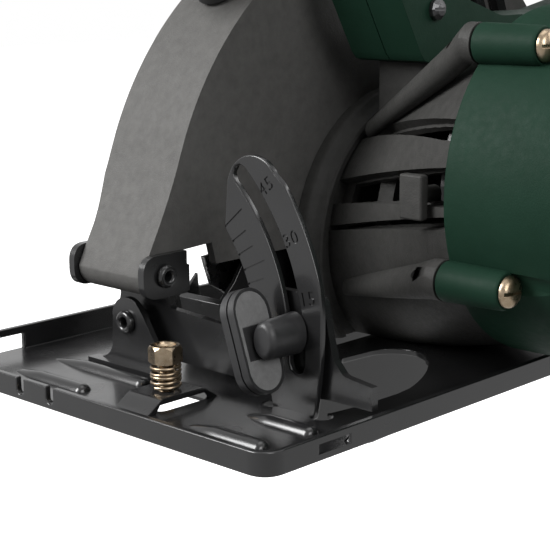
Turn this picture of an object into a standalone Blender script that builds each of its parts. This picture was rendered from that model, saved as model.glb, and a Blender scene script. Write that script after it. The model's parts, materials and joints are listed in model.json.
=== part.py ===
"""Circular saw with a pressed steel base, a 40 degree bevel quadrant and a hinged depth setting.

Row frame: +X is forward, +Y is the operator's left (the motor side), +Z is up.
The origin lies on the sole, midway along the base, 36 mm in from its left edge.
Most sizes below are stations in millimetres: "back" runs rearward from the base's front edge,
"across" runs from the base's left edge towards the blade side, and "up" rises from the sole.
"""
import math

import bmesh
import bpy
from mathutils import Matrix, Vector

MM = 0.001
GAP = 0.3                     # clearance between neighbouring pieces
FLOOR = 2.6                   # lowest point of the motor side above the base

# base plate
BASE_LENGTH = 280.0
BASE_WIDTH = 145.0
ORIGIN_BACK = BASE_LENGTH / 2
ORIGIN_ACROSS = 36.0
SHEET = 2.0                   # pressed sheet thickness
RIM_HEIGHT = 6.7              # front, rear and left rims
RIGHT_RIM_HEIGHT = 9.7
FENCE_SLOT_BACK = (20.0, 32.2)
BRIDGE_ACROSS = (56.5, 70.5)
FENCE_BOLT = (23.8, 63.5)     # back, across
FENCE_HEAD = (14.0, 19.2)     # up: the hexagon head's two ends

# bevel hinge, quadrant and knob
BEVEL_ACROSS = 97.1
BEVEL_UP = 17.6
BEVEL_RANGE = 40.0            # degrees
QUADRANT_BACK = 42.2          # front face
QUADRANT_RADIUS = 80.0
QUADRANT_TOP = (45.6, 63.2)      # across and up of the centre of its rounded top
QUADRANT_TOP_RADIUS = 10.5
SCALE_RADIUS = 52.5           # inner edge of the scale band
SLOT_RADIUS = 68.4
SLOT_HALF_WIDTH = 2.9
KNOB_FRONT = 28.5
KNOB_ANGLE = 6.4              # where the clamp bolt stands in the slot at zero bevel
EAR_BACK = (38.0, 40.0)
FRONT_TILT_BACK = (45.2, 47.7)
REAR_TILT_BACK = (238.0, 240.5)
REAR_EAR_BACK = (245.5, 247.5)

# depth hinge and its guide arm
DEPTH_BACK = 37.6
DEPTH_UP = 35.0
DEPTH_RANGE = 25.0            # degrees
ARM_RADIUS = 178.0
ARM_ACROSS = (76.8, 79.8)
TAB_ACROSS = 73.7             # near face of the rear bracket's tab, which the arm is riveted to
ARM_RIVETS = (214.0, 222.5)
ARM_RIVET_UP = 20.5
RIVET_HOLE = 2.3
LOCK_ANGLE = 7.0              # lock bolt's place on the arm at full depth

# cutting head
SPINDLE_BACK = 150.0
SPINDLE_UP = 32.0
BLADE_ACROSS = 102.0
BLADE_RADIUS = 75.0           # 150 mm blade
BLADE_TEETH = 24
GUARD_RADIUS = 109.5
GUARD_ACROSS = (81.0, 113.0)
GUARD_WALL = 3.0
GUARD_FLOOR = 34.8
LOWER_GUARD_RADIUS = 80.0

# gear train: a fifteen tooth pinion drives a forty tooth gear
GEAR_MODULE = 1.25
PINION_TEETH = 15
GEAR_TEETH = 40
GEAR_CENTRES = GEAR_MODULE * (PINION_TEETH + GEAR_TEETH) / 2
GEAR_LINE = math.radians(123.3)      # from the spindle up to the motor axis, measured from rearward
MOTOR_BACK = SPINDLE_BACK + GEAR_CENTRES * math.cos(GEAR_LINE)
MOTOR_UP = SPINDLE_UP + GEAR_CENTRES * math.sin(GEAR_LINE)
GEAR_ACROSS = (57.0, 69.0)
SPINDLE_AXIS = (SPINDLE_BACK, 0.0, SPINDLE_UP)     # a line that runs across, so 0 is any point of it
MOTOR_AXIS = (MOTOR_BACK, 0.0, MOTOR_UP)

# motor housing
CASE_MOUTH = 6.3              # where the gear case ends and the motor housing begins
HOUSING_RADIUS = 53.0
HOUSING_END = -88.0
CAP_END = -108.0
SCREW_CIRCLE = 55.9
SCREW_ANGLES = (205.0, 130.0, 50.0, 335.0)

# handle
HANDLE_ACROSS = (38.0, 66.0)
HANDLE_SPLIT = 52.0
HANDLE_FLOOR = 95.6
HANDLE_SCREWS = ((115.0, 112.0), (111.0, 150.0), (244.0, 107.0))   # back, up
LOCK_OFF = (172.0, 165.0)
CORD_UP = 115.5
TRIGGER_BACK = 150.0
TRIGGER_UP = 152.0

PARTS = bpy.data.collections.new("circular_saw")
AXIS_POINTS = {}              # where each joint's empty stands, in metres


# ---------------------------------------------------------------- helpers

def clear_scene():
    for obj in list(bpy.data.objects):
        bpy.data.objects.remove(obj, do_unlink=True)


def place(back, across, up):
    """Row position in metres of a point given by its stations in millimetres."""
    return Vector((ORIGIN_BACK - back, ORIGIN_ACROSS - across, up)) * MM


def finish(name, color, roughness, metallic=0.0):
    mat = bpy.data.materials.new(name)
    mat.use_nodes = True
    shader = mat.node_tree.nodes["Principled BSDF"]
    shader.inputs["Base Color"].default_value = (*color, 1.0)
    shader.inputs["Roughness"].default_value = roughness
    shader.inputs["Metallic"].default_value = metallic
    return mat


def add_mesh(name, mesh, mat=None):
    obj = bpy.data.objects.new(name, mesh)
    PARTS.objects.link(obj)
    if mat is not None:
        mesh.materials.clear()
        mesh.materials.append(mat)
    return obj


def from_bmesh(name, bm, mat=None):
    bmesh.ops.recalc_face_normals(bm, faces=bm.faces)
    mesh = bpy.data.meshes.new(name)
    bm.to_mesh(mesh)
    bm.free()
    return add_mesh(name, mesh, mat)


def bake(obj):
    """Replace an object by its evaluated, welded mesh in row coordinates."""
    bpy.context.view_layer.update()
    depsgraph = bpy.context.evaluated_depsgraph_get()
    mesh = bpy.data.meshes.new_from_object(obj.evaluated_get(depsgraph))
    mesh.transform(obj.matrix_world)
    bm = bmesh.new()
    bm.from_mesh(mesh)
    bmesh.ops.remove_doubles(bm, verts=bm.verts, dist=1e-6)
    bmesh.ops.dissolve_degenerate(bm, edges=bm.edges, dist=1e-6)
    bmesh.ops.recalc_face_normals(bm, faces=bm.faces)
    bm.to_mesh(mesh)
    bm.free()
    name = obj.name
    mats = [slot.material for slot in obj.material_slots]
    bpy.data.objects.remove(obj, do_unlink=True)
    baked = add_mesh(name, mesh)
    if mats and not mesh.materials:
        mesh.materials.append(mats[0])
    baked.name = name
    return baked


def boolean(target, tool, operation="DIFFERENCE"):
    mod = target.modifiers.new("cut", "BOOLEAN")
    mod.solver = "EXACT"
    mod.operation = operation
    mod.object = tool
    tool.hide_render = True
    tool.display_type = "WIRE"
    result = bake(target)
    bpy.data.objects.remove(tool, do_unlink=True)
    return result


def cut(target, *tools):
    for tool in tools:
        target = boolean(target, tool, "DIFFERENCE")
    return target


def join(target, *others):
    for other in others:
        target = boolean(target, other, "UNION")
    return target


def bevel(obj, width, segments=2, angle=35.0):
    mod = obj.modifiers.new("edge", "BEVEL")
    mod.width = width * MM
    mod.segments = segments
    mod.limit_method = "ANGLE"
    mod.angle_limit = math.radians(angle)
    mod.use_clamp_overlap = True
    return bake(obj)


def round_rims(obj, width, segments=2):
    """Round the edges that border the two flat sides facing across."""
    bm = bmesh.new()
    bm.from_mesh(obj.data)
    sides = {face for face in bm.faces if abs(face.normal.y) > 0.99}
    rims = [edge for edge in bm.edges if len(sides.intersection(edge.link_faces)) == 1]
    bmesh.ops.bevel(bm, geom=rims, offset=width * MM, segments=segments, profile=0.5, affect="EDGES",
                    clamp_overlap=True)
    bm.to_mesh(obj.data)
    bm.free()
    return bake(obj)


PLANES = {
    # columns: where the outline's first axis, second axis and thickness point
    "transverse": Matrix(((0, 0, 1), (1, 0, 0), (0, 1, 0))),     # (across, up), extruded along back
    "side": Matrix(((1, 0, 0), (0, 0, -1), (0, 1, 0))),          # (back, up), extruded across
    "flat": Matrix(((1, 0, 0), (0, 1, 0), (0, 0, 1))),           # (back, across), extruded up
}


def slab(name, plane, outline, start, end, mat=None, holes=()):
    """A flat outline, with holes, extruded between two stations across its plane."""
    curve = bpy.data.curves.new(name, "CURVE")
    curve.dimensions = "2D"
    curve.fill_mode = "BOTH"
    curve.extrude = abs(end - start) / 2 * MM
    for loop in (outline, *holes):
        spline = curve.splines.new("POLY")
        spline.points.add(len(loop) - 1)
        for point, (a, b) in zip(spline.points, loop):
            if plane == "transverse":
                a = ORIGIN_ACROSS - a
            elif plane == "side":
                a = ORIGIN_BACK - a
            else:
                a, b = ORIGIN_BACK - a, ORIGIN_ACROSS - b
            point.co = (a * MM, b * MM, 0.0, 1.0)
        spline.use_cyclic_u = True
    obj = bpy.data.objects.new(name, curve)
    PARTS.objects.link(obj)
    middle = (start + end) / 2
    offset = {"transverse": Vector((ORIGIN_BACK - middle, 0, 0)),
              "side": Vector((0, ORIGIN_ACROSS - middle, 0)),
              "flat": Vector((0, 0, middle))}[plane]
    obj.matrix_world = Matrix.Translation(offset * MM) @ PLANES[plane].to_4x4()
    obj = bake(obj)
    if mat is not None:
        obj.data.materials.clear()
        obj.data.materials.append(mat)
    return obj


AXES = {
    "across": Matrix(((1, 0, 0), (0, 0, -1), (0, 1, 0))),        # heights run towards the blade side
    "back": Matrix(((0, 0, -1), (0, 1, 0), (1, 0, 0))),          # heights run rearward
    "up": Matrix(((1, 0, 0), (0, 1, 0), (0, 0, 1))),
}


def turned(name, profile, axis, centre, mat=None, steps=20, ring=False, turn=0.0):
    """A profile of (radius, height) revolved about an axis through centre."""
    mesh = bpy.data.meshes.new(name)
    points = [(radius * MM, 0.0, height * MM) for radius, height in profile]
    edges = [(i, i + 1) for i in range(len(points) - 1)]
    if ring:
        edges.append((len(points) - 1, 0))
    mesh.from_pydata(points, edges, [])
    obj = bpy.data.objects.new(name, mesh)
    PARTS.objects.link(obj)
    screw = obj.modifiers.new("turn", "SCREW")
    screw.axis = "Z"
    screw.angle = math.tau
    screw.steps = steps
    screw.render_steps = steps
    screw.use_merge_vertices = True
    screw.merge_threshold = 1e-6
    base = Matrix.Translation(place(*centre)) @ AXES[axis].to_4x4()
    obj.matrix_world = base @ Matrix.Rotation(math.radians(turn), 4, "Z")
    obj = bake(obj)
    if mat is not None:
        obj.data.materials.clear()
        obj.data.materials.append(mat)
    return obj


def rod(name, axis, centre, radius, start, end, mat=None, steps=16, turn=0.0):
    """A plain cylinder between two stations along its axis; centre holds the other two stations."""
    profile = [(0.0, start), (radius, start), (radius, end), (0.0, end)]
    return turned(name, profile, axis, centre, mat, steps, turn=turn)


def tube(name, axis, centre, inner, outer, start, end, mat=None, steps=20):
    profile = [(inner, start), (outer, start), (outer, end), (inner, end)]
    return turned(name, profile, axis, centre, mat, steps, ring=True)


def block(name, back, across, up, mat=None):
    """A box between pairs of stations."""
    bm = bmesh.new()
    bmesh.ops.create_cube(bm, size=1.0)
    low = place(back[1], across[1], up[0])
    high = place(back[0], across[0], up[1])
    size = high - low
    for vert in bm.verts:
        vert.co = Vector((vert.co.x * size.x, vert.co.y * size.y, vert.co.z * size.z))
        vert.co += (low + high) / 2
    return from_bmesh(name, bm, mat)


def loft(name, rings, mat=None):
    """A closed skin through rings of row points in metres, with flat ends."""
    bm = bmesh.new()
    rows = [[bm.verts.new(point) for point in ring] for ring in rings]
    count = len(rows[0])
    for low, high in zip(rows, rows[1:]):
        for i in range(count):
            j = (i + 1) % count
            bm.faces.new((low[i], low[j], high[j], high[i]))
    bm.faces.new(rows[0])
    bm.faces.new(rows[-1])
    return from_bmesh(name, bm, mat)


def coil(name, axis_point, axis, radius, wire, start, end, turns, mat):
    """A round wire spring as a poly curve with filled caps."""
    curve = bpy.data.curves.new(name, "CURVE")
    curve.dimensions = "3D"
    curve.bevel_depth = wire / 2 * MM
    curve.bevel_resolution = 1
    curve.use_fill_caps = True
    per_turn = 10
    count = int(turns * per_turn) + 1
    spline = curve.splines.new("POLY")
    spline.points.add(count - 1)
    for i, point in enumerate(spline.points):
        angle = math.tau * i / per_turn
        height = start + (end - start) * i / (count - 1)
        point.co = (radius * math.cos(angle) * MM, radius * math.sin(angle) * MM, height * MM, 1.0)
    obj = bpy.data.objects.new(name, curve)
    PARTS.objects.link(obj)
    obj.matrix_world = Matrix.Translation(place(*axis_point)) @ AXES[axis].to_4x4()
    obj = bake(obj)
    obj.data.materials.clear()
    obj.data.materials.append(mat)
    return obj


def polar(centre, radius, degrees):
    """A point of an outline at an angle from its first axis."""
    angle = math.radians(degrees)
    return (centre[0] + radius * math.cos(angle), centre[1] + radius * math.sin(angle))


def arc(centre, radius, start, end, step=6.0):
    count = max(2, int(round(abs(end - start) / step)) + 1)
    return [polar(centre, radius, start + (end - start) * i / (count - 1)) for i in range(count)]


def arc_slot(centre, radius, half_width, start, end, step=5.0):
    """Outline of a curved slot with round ends, between two centre angles."""
    outer = arc(centre, radius + half_width, start, end, step)
    inner = arc(centre, radius - half_width, end, start, step)
    sign = 1 if end > start else -1
    far = arc(polar(centre, radius, end), half_width, end, end + 180 * sign, 45)[1:-1]
    near = arc(polar(centre, radius, start), half_width, start + 180 * sign, start + 360 * sign, 45)[1:-1]
    return outer + far + inner + near


def rounded(corners, radius, step=30.0):
    """A polygon whose corners are replaced by arcs of one radius."""
    result = []
    count = len(corners)
    for i, corner in enumerate(corners):
        here = Vector(corner)
        before = (Vector(corners[i - 1]) - here)
        after = (Vector(corners[(i + 1) % count]) - here)
        size = radius[i] if isinstance(radius, (list, tuple)) else radius
        if size <= 0:
            result.append(tuple(here))
            continue
        half = before.angle(after) / 2
        reach = min(size / math.tan(half), before.length * 0.48, after.length * 0.48)
        first = here + before.normalized() * reach
        last = here + after.normalized() * reach
        steps = max(2, int(math.degrees(math.pi - 2 * half) / step) + 1)
        for k in range(steps + 1):
            t = k / steps
            point = first.lerp(here, t).lerp(here.lerp(last, t), t)
            result.append(tuple(point))
    return result


def rectangle(low, high):
    return [(low[0], low[1]), (high[0], low[1]), (high[0], high[1]), (low[0], high[1])]


def inset(outline, distance):
    """The outline moved inward by a distance, corner by corner."""
    count = len(outline)
    points = [Vector(p) for p in outline]
    area = sum(points[i - 1].x * points[i].y - points[i].x * points[i - 1].y for i in range(count))
    side = 1.0 if area > 0 else -1.0
    result = []
    for i in range(count):
        before = (points[i] - points[i - 1]).normalized()
        after = (points[(i + 1) % count] - points[i]).normalized()
        normal = Vector((-(before.y + after.y), before.x + after.x)).normalized() * side
        scale = max(0.5, normal.dot(Vector((-before.y, before.x)) * side))
        result.append(tuple(points[i] + normal * (distance / scale)))
    return result


# ---------------------------------------------------------------- materials

BLACK_STEEL = finish("black_steel", (0.022, 0.022, 0.023), 0.28, 0.4)
CAST_GREY = finish("cast_grey", (0.16, 0.155, 0.145), 0.5, 0.3)
GREEN_SHELL = finish("green_shell", (0.018, 0.055, 0.034), 0.45)
BLACK_PLASTIC = finish("black_plastic", (0.02, 0.02, 0.021), 0.42)
SOFT_GRIP = finish("soft_grip", (0.014, 0.014, 0.014), 0.75)
BRIGHT_STEEL = finish("bright_steel", (0.62, 0.62, 0.62), 0.3, 1.0)
BLADE_STEEL = finish("blade_steel", (0.66, 0.66, 0.66), 0.26, 1.0)
YELLOW_ZINC = finish("yellow_zinc", (0.55, 0.47, 0.36), 0.25, 1.0)
DARK_STEEL = finish("dark_steel", (0.12, 0.12, 0.125), 0.4, 0.9)
COPPER = finish("copper", (0.72, 0.36, 0.2), 0.35, 1.0)
CARBON = finish("carbon", (0.03, 0.03, 0.03), 0.6)


# ---------------------------------------------------------------- base

BEVEL_CENTRE = (BEVEL_ACROSS, BEVEL_UP)


def bevel_point(radius, degrees):
    """A point of the quadrant: the angle rises from the direction of the left edge."""
    return polar(BEVEL_CENTRE, radius, 180.0 - degrees)


def quadrant_outline():
    """Foot, scale band's inner edge, raised top edge, outer arc and the straight drop to the fold."""
    inner = [bevel_point(SCALE_RADIUS, a) for a in range(2, 40, 5)]
    top = [(57.2, 51.9), *arc(QUADRANT_TOP, QUADRANT_TOP_RADIUS, 8, 146, 14)]
    outer = [bevel_point(QUADRANT_RADIUS, a) for a in range(38, 15, -4)]
    drop = [(19.4, 33.0), (19.7, 20.0), (21.3, 7.0), (22.5, 1.0)]
    foot = [(38.3, 1.0), (39.6, 6.0), (42.5, 12.0)]
    return foot + inner + top + outer + drop


def quadrant_slot():
    return arc_slot(BEVEL_CENTRE, SLOT_RADIUS, SLOT_HALF_WIDTH,
                    180.0 + 1.4, 180.0 - KNOB_ANGLE - BEVEL_RANGE - 0.8, 5.0)


def bead(name, back, across_from, across_to):
    """A pressed stiffening bead that tapers towards its far end."""
    length = abs(across_to - across_from)
    profile = [(0.0, 0.0), (2.2, 0.0), (3.0, 1.2), (3.0, length * 0.62), (0.8, length), (0.0, length)]
    return turned(name, profile, "across", (back, across_from, SHEET - 0.9), steps=12)


def base_plate():
    edge = rounded(rectangle((0, 0), (BASE_LENGTH, BASE_WIDTH)), 7.0)
    plate = slab("base_plate", "flat", edge, 0.0, RIGHT_RIM_HEIGHT)
    pocket = rounded(rectangle((SHEET, SHEET), (BASE_LENGTH - SHEET, BASE_WIDTH - SHEET)), 5.0)
    plate = cut(plate, slab("pocket", "flat", pocket, SHEET, 20.0))
    # the rims are lower than the right one, which slopes down to them at both ends
    right = BASE_WIDTH - 6.5
    low_rim = [(-5, RIM_HEIGHT), (8, RIM_HEIGHT), (16, 20), (-5, 20)]
    rear_rim = [(BASE_LENGTH - 16, 20), (BASE_LENGTH - 8, RIM_HEIGHT), (BASE_LENGTH + 5, RIM_HEIGHT),
                (BASE_LENGTH + 5, 20)]
    plate = cut(plate,
                block("rim_level", (-5, BASE_LENGTH + 5), (-5, right), (RIM_HEIGHT, 20)),
                slab("front_slope", "side", low_rim, right - 0.01, BASE_WIDTH + 5),
                slab("rear_slope", "side", rear_rim, right - 0.01, BASE_WIDTH + 5))
    plate = bevel(plate, 0.9, 2, 60.0)
    # openings: blade well, the quadrant laid flat, relief holes at its fold, under the bridge
    well = rounded(rectangle((66.5, 69.5), (233.5, 111.5)), 6.0)
    fold = QUADRANT_BACK + SHEET
    flat = [(fold + max(up - SHEET, -3.0), across) for across, up in quadrant_outline()]
    plate = cut(plate,
                slab("well", "flat", well, -5, 15),
                slab("flat_quadrant", "flat", flat, -5, 15),
                rod("relief_left", "up", (fold - 0.3, 21.0, 0), 3.2, -5, 15, steps=12),
                rod("relief_right", "up", (fold - 0.3, 39.6, 0), 3.2, -5, 15, steps=12),
                slab("under_bridge", "flat", rounded(rectangle((16, 57.5), (35, 72)), 3.0), -5, 15))
    # blade line notches in the front rim: 0 and 45 degrees
    for across in (101.9, 87.8):
        notch = [(across - 1.6, 20), (across - 1.6, 3.2), *arc((across, 3.2), 1.6, 180, 360, 45)[1:-1],
                 (across + 1.6, 3.2), (across + 1.6, 20)]
        plate = cut(plate, slab("notch", "transverse", notch, -5, SHEET + 1.5))
    # fence bar slots through both side rims
    plate = cut(plate,
                block("left_slot", FENCE_SLOT_BACK, (-5, SHEET + 1.0), (SHEET, 4.6)),
                block("right_slot", FENCE_SLOT_BACK, (BASE_WIDTH - SHEET - 1.0, BASE_WIDTH + 5),
                      (SHEET, 7.2)))
    plate = join(plate,
                 bead("bead_1", 14.5, 88.5, 124.0), bead("bead_2", 31.2, 80.5, 126.0),
                 bead("bead_3", 13.5, 13.0, 43.0), bead("bead_4", 31.0, 11.5, 38.5))
    for back in (180.0, 215.0, 268.0):
        plate = join(plate, bead("rear_bead", back, 12.0, 52.0))
    plate = cut(plate, block("sole", (-10, BASE_LENGTH + 10), (-10, BASE_WIDTH + 10), (-20, 0)))
    bridge_profile = [(9.5, 1.0), (9.5, 2.2), (14.5, 6.2), (33.5, 6.2), (38.5, 2.2), (38.5, 1.0), (35.0, 1.0),
                      (32.6, 4.2), (15.4, 4.2), (13.0, 1.0)]
    bridge = slab("bridge", "side", bridge_profile, *BRIDGE_ACROSS)
    bridge = cut(bridge, rod("bolt_hole", "up", (*FENCE_BOLT, 0), 2.8, -5, 15, steps=14))
    plate = join(plate, bridge)
    quadrant = slab("quadrant", "transverse", quadrant_outline(), QUADRANT_BACK, QUADRANT_BACK + SHEET,
                    holes=(quadrant_slot(),))
    plate = join(plate, quadrant)
    plate.data.materials.clear()
    plate.data.materials.append(BLACK_STEEL)
    return plate


def ear_outline(foot_level):
    return [(113.0, foot_level), (112.0, foot_level + 1.6), (105.5, 6.0), (104.4, 9.0), (103.9, 18.5),
            *arc((97.0, 18.2), 7.2, 10, 140, 22), (86.0, 16.5), (78.5, 6.5), (76.0, foot_level + 1.6),
            (75.0, foot_level)]


def pivot_ear(name, backs, foot_backs):
    low = SHEET + GAP
    plate = slab(name, "transverse", ear_outline(low), *backs, BLACK_STEEL)
    foot = block("foot", foot_backs, (75.0, 113.0), (low, low + 2.0))
    plate = join(plate, foot)
    return cut(plate, rod("pin_hole", "back", (0, *BEVEL_CENTRE), 2.9, backs[0] - 3, backs[1] + 3, steps=14))


def bevel_rivet(name, head_back, shank_end, direction):
    """Hollow rivet: rolled head outside the ear, closing ring behind the tilt bracket."""
    d = direction
    profile = [(1.5, 0.0), (2.2, -1.0), (3.0, -1.0), (3.7, 0.0), (3.7, 0.5), (2.6, 0.5),
               (2.6, shank_end - 0.2), (3.7, shank_end - 0.2), (3.7, shank_end + 0.9), (1.5, shank_end + 0.9)]
    profile = [(radius, head_back + d * height) for radius, height in profile]
    return turned(name, profile, "back", (0, *BEVEL_CENTRE), BRIGHT_STEEL if d < 0 else BLACK_STEEL,
                  steps=14, ring=True)


def fence_bolt():
    """Hexagon head with a dished top, on a shank that passes the spring and the bridge."""
    hexagon = [polar((FENCE_BOLT[0], FENCE_BOLT[1]), 5.0, 60 * i + 12) for i in range(6)]
    head = slab("fence_clamp_bolt", "flat", hexagon, *FENCE_HEAD, YELLOW_ZINC)
    crown = turned("crown", [(0, 10), (6.0, 10), (6.0, 18.0), (4.2, 19.3), (0, 19.3)], "up", (*FENCE_BOLT, 0),
                   steps=16)
    head = boolean(head, crown, "INTERSECT")
    head = cut(head, turned("dish", [(0, 18.2), (2.4, 18.4), (3.5, 20.5), (0, 20.5)], "up", (*FENCE_BOLT, 0),
                            steps=14))
    shank = rod("shank", "up", (*FENCE_BOLT, 0), 2.4, 2.4, 14.5, steps=12)
    return join(head, shank)


def base_group():
    base_plate()
    pivot_ear("front_pivot_ear", EAR_BACK, (34.8, EAR_BACK[1] - 0.6))
    pivot_ear("rear_pivot_ear", REAR_EAR_BACK, (REAR_EAR_BACK[0] + 0.6, 254.0))
    bevel_rivet("front_bevel_rivet", EAR_BACK[0] - 0.8, FRONT_TILT_BACK[1] - EAR_BACK[0] + 1.3, 1)
    rear_length = REAR_EAR_BACK[1] - REAR_TILT_BACK[0] + 1.3
    bevel_rivet("rear_bevel_rivet", REAR_EAR_BACK[1] + 0.8, rear_length, -1)
    fence_bolt()
    coil("fence_clamp_spring", (*FENCE_BOLT, 0), "up", 4.1, 1.2, 7.2, 13.0, 4.5, YELLOW_ZINC)


# ---------------------------------------------------------------- tilting bracket

def ear_side():
    """Side outline of the two ears that carry the depth hinge pin."""
    return rounded([(29.0, 28.4), (29.0, 41.5), (46.5, 41.5), (46.5, 28.4)], [5.5, 5.5, 0.0, 0.0])


def front_tilt_bracket():
    low = 6.3
    outline = [(3.7, 6.7), (3.7, 13.4), (14.0, 14.6), (17.6, 18.5), (19.4, 25.0), (21.6, 33.0), (23.5, 36.0),
               (39.0, 36.0), (41.5, 33.0), (46.0, 21.0), (57.0, 21.0), (84.4, 22.6), (85.0, 23.2),
               (85.0, 27.6), (84.0, 28.6), (78.5, 28.9), (78.5, 37.0), (113.1, 37.2), (113.1, 29.2), (109.6, 27.0),
               (107.9, 24.0), (109.4, 20.8), (112.0, 18.5),
               *arc(BEVEL_CENTRE, 15.0, 0, -47, 12), (105.0, low), (24.0, low), (20.0, 6.7)]
    hub = bevel_point(SLOT_RADIUS, KNOB_ANGLE)
    plate = slab("front_tilt_bracket", "transverse", outline, *FRONT_TILT_BACK, BLACK_STEEL,
                 holes=(arc(BEVEL_CENTRE, 2.9, 0, 342, 18), arc(hub, 2.7, 0, 342, 18)))
    for across in ((78.2, 80.7), (110.9, 113.4)):
        plate = join(plate, slab("ear", "side", ear_side(), *across))
    return cut(plate, rod("pin_hole", "across", (DEPTH_BACK, 0, DEPTH_UP), 3.0, 70, 120, steps=14))


def rivet_holes():
    return [rod("rivet_hole", "across", (back, 0, ARM_RIVET_UP), RIVET_HOLE, 70, 84, steps=12)
            for back in ARM_RIVETS]


def rear_tilt_bracket():
    outline = [(73.9, 8.0), (73.9, 30.0), (77.0, 33.2), (106.0, 33.4), (111.0, 29.0),
               *arc(BEVEL_CENTRE, 15.0, 0, -47, 12), (105.0, 6.3), (76.0, 6.3)]
    plate = slab("rear_tilt_bracket", "transverse", outline, *REAR_TILT_BACK, BLACK_STEEL,
                 holes=(arc(BEVEL_CENTRE, 2.9, 0, 342, 18),))
    end = REAR_TILT_BACK[1] - 0.2
    tab = rounded([(206.0, 9.6), (206.0, 30.6), (end, 29.6), (end, 10.4)], [4, 4, 0, 0])
    plate = join(plate, slab("tab", "side", tab, TAB_ACROSS, ARM_ACROSS[0] - GAP))
    return cut(plate, *rivet_holes())


def depth_guide_arm():
    """Curved arm about the depth hinge, with the slot that the lock bolt follows."""
    centre = (DEPTH_BACK, DEPTH_UP)
    outer = arc(centre, ARM_RADIUS + 8.0, -3, 44, 4)
    inner = arc(centre, ARM_RADIUS - 8.0, 44, 0, 4)
    tip = arc(polar(centre, ARM_RADIUS, 44), 8.0, 44, 224, 30)[1:-1]
    foot = [(207.3, 14.0), (209.5, 12.0), (228.0, 12.0), (229.0, 24.0)]
    slot = arc_slot(centre, ARM_RADIUS, 3.3, LOCK_ANGLE - 1.0, LOCK_ANGLE + DEPTH_RANGE + 1.0, 4.0)
    arm = slab("depth_guide_arm", "side", outer + tip + inner + foot, *ARM_ACROSS, BLACK_STEEL, holes=(slot,))
    return cut(arm, *rivet_holes())


def arm_rivet(name, back):
    start, end = TAB_ACROSS - GAP, ARM_ACROSS[1]
    profile = [(0, start - 1.2), (2.6, start - 1.0), (3.8, start), (2.0, start), (2.0, end + 0.2),
               (0, end + 0.2)]
    return turned(name, profile, "across", (back, 0, ARM_RIVET_UP), BLACK_STEEL, steps=12)


def depth_pin():
    """Hollow rivet that carries the head between the bracket's ears."""
    profile = [(1.4, 77.0), (2.0, 76.2), (2.9, 76.2), (3.6, 77.0), (3.6, 77.9), (2.7, 77.9), (2.7, 113.7),
               (4.2, 113.7), (4.2, 115.0), (1.4, 115.0)]
    return turned("depth_pivot_pin", profile, "across", (DEPTH_BACK, 0, DEPTH_UP), BLACK_STEEL, steps=14,
                  ring=True)


def bevel_clamp_bolt():
    """Carriage bolt: its round head sits behind the bracket arm, its end is inside the knob."""
    hub = bevel_point(SLOT_RADIUS, KNOB_ANGLE)
    rear = FRONT_TILT_BACK[1] + GAP
    profile = [(0, 34.0), (2.4, 34.0), (2.4, rear), (5.5, rear), (4.5, rear + 1.8), (0, rear + 2.4)]
    return turned("bevel_clamp_bolt", profile, "back", (0, *hub), YELLOW_ZINC, steps=14)


def bevel_lock_knob():
    """Oval tapered boss on the clamp bolt, with a leaning thumb bar on its blade side."""
    hub = bevel_point(SLOT_RADIUS, KNOB_ANGLE)
    front, rear = KNOB_FRONT, QUADRANT_BACK - 0.4
    boss = [(0, front), (4.4, front), (5.2, front + 0.6), (5.6, front + 1.8), (6.1, rear), (0, rear)]
    flatness = 0.74
    knob = turned("bevel_lock_knob", boss, "back", (0, *hub), BLACK_PLASTIC, steps=20)
    bar_length, bar_width, bar_thick = 30.0, 14.0, 5.6
    centre_back, centre_up = 31.5, 24.3
    near_face = hub[0] + 3.9
    half = bar_length / 2 - bar_width / 2
    stadium = [(centre_back + x, centre_up + z) for x, z in
               arc((0, half), bar_width / 2, 0, 180, 18) + arc((0, -half), bar_width / 2, 180, 360, 18)]
    bar = slab("bar", "side", stadium, near_face, near_face + bar_thick)
    bar = bevel(bar, 0.7, 2, 60.0)
    middle = place(0, *hub)
    knob.data.transform(Matrix.Translation(middle) @ Matrix.Diagonal((1.0, flatness, 1.0, 1.0))
                        @ Matrix.Translation(-middle))
    pivot = place(0, near_face, centre_up)
    lean = Matrix.Translation(pivot) @ Matrix.Rotation(math.radians(18.7), 4,
                                                       "X") @ Matrix.Translation(-pivot)
    bar.data.transform(lean)
    knob = join(knob, bar)
    return cut(knob, rod("thread", "back", (0, *hub), 2.7, 33.0, rear + 5, steps=14))


def tilt_group():
    front_tilt_bracket()
    rear_tilt_bracket()
    depth_guide_arm()
    for i, back in enumerate(ARM_RIVETS):
        arm_rivet("arm_rivet_%d" % (i + 1), back)
    depth_pin()
    bevel_clamp_bolt()
    bevel_lock_knob()


# ---------------------------------------------------------------- guards

SPINDLE_CENTRE = (SPINDLE_BACK, SPINDLE_UP)
MOTOR_CENTRE = (MOTOR_BACK, MOTOR_UP)
LOCK_CENTRE = polar((DEPTH_BACK, DEPTH_UP), ARM_RADIUS, LOCK_ANGLE)


def guard_outline(radius, floor, front):
    """Side outline of the blade cover: the arc over the blade, and a nose that reaches the depth hinge."""
    start = math.degrees(math.asin((floor - SPINDLE_UP) / radius))
    over = arc(SPINDLE_CENTRE, radius, start, 160.0, 6.0)
    return over + front


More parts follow.
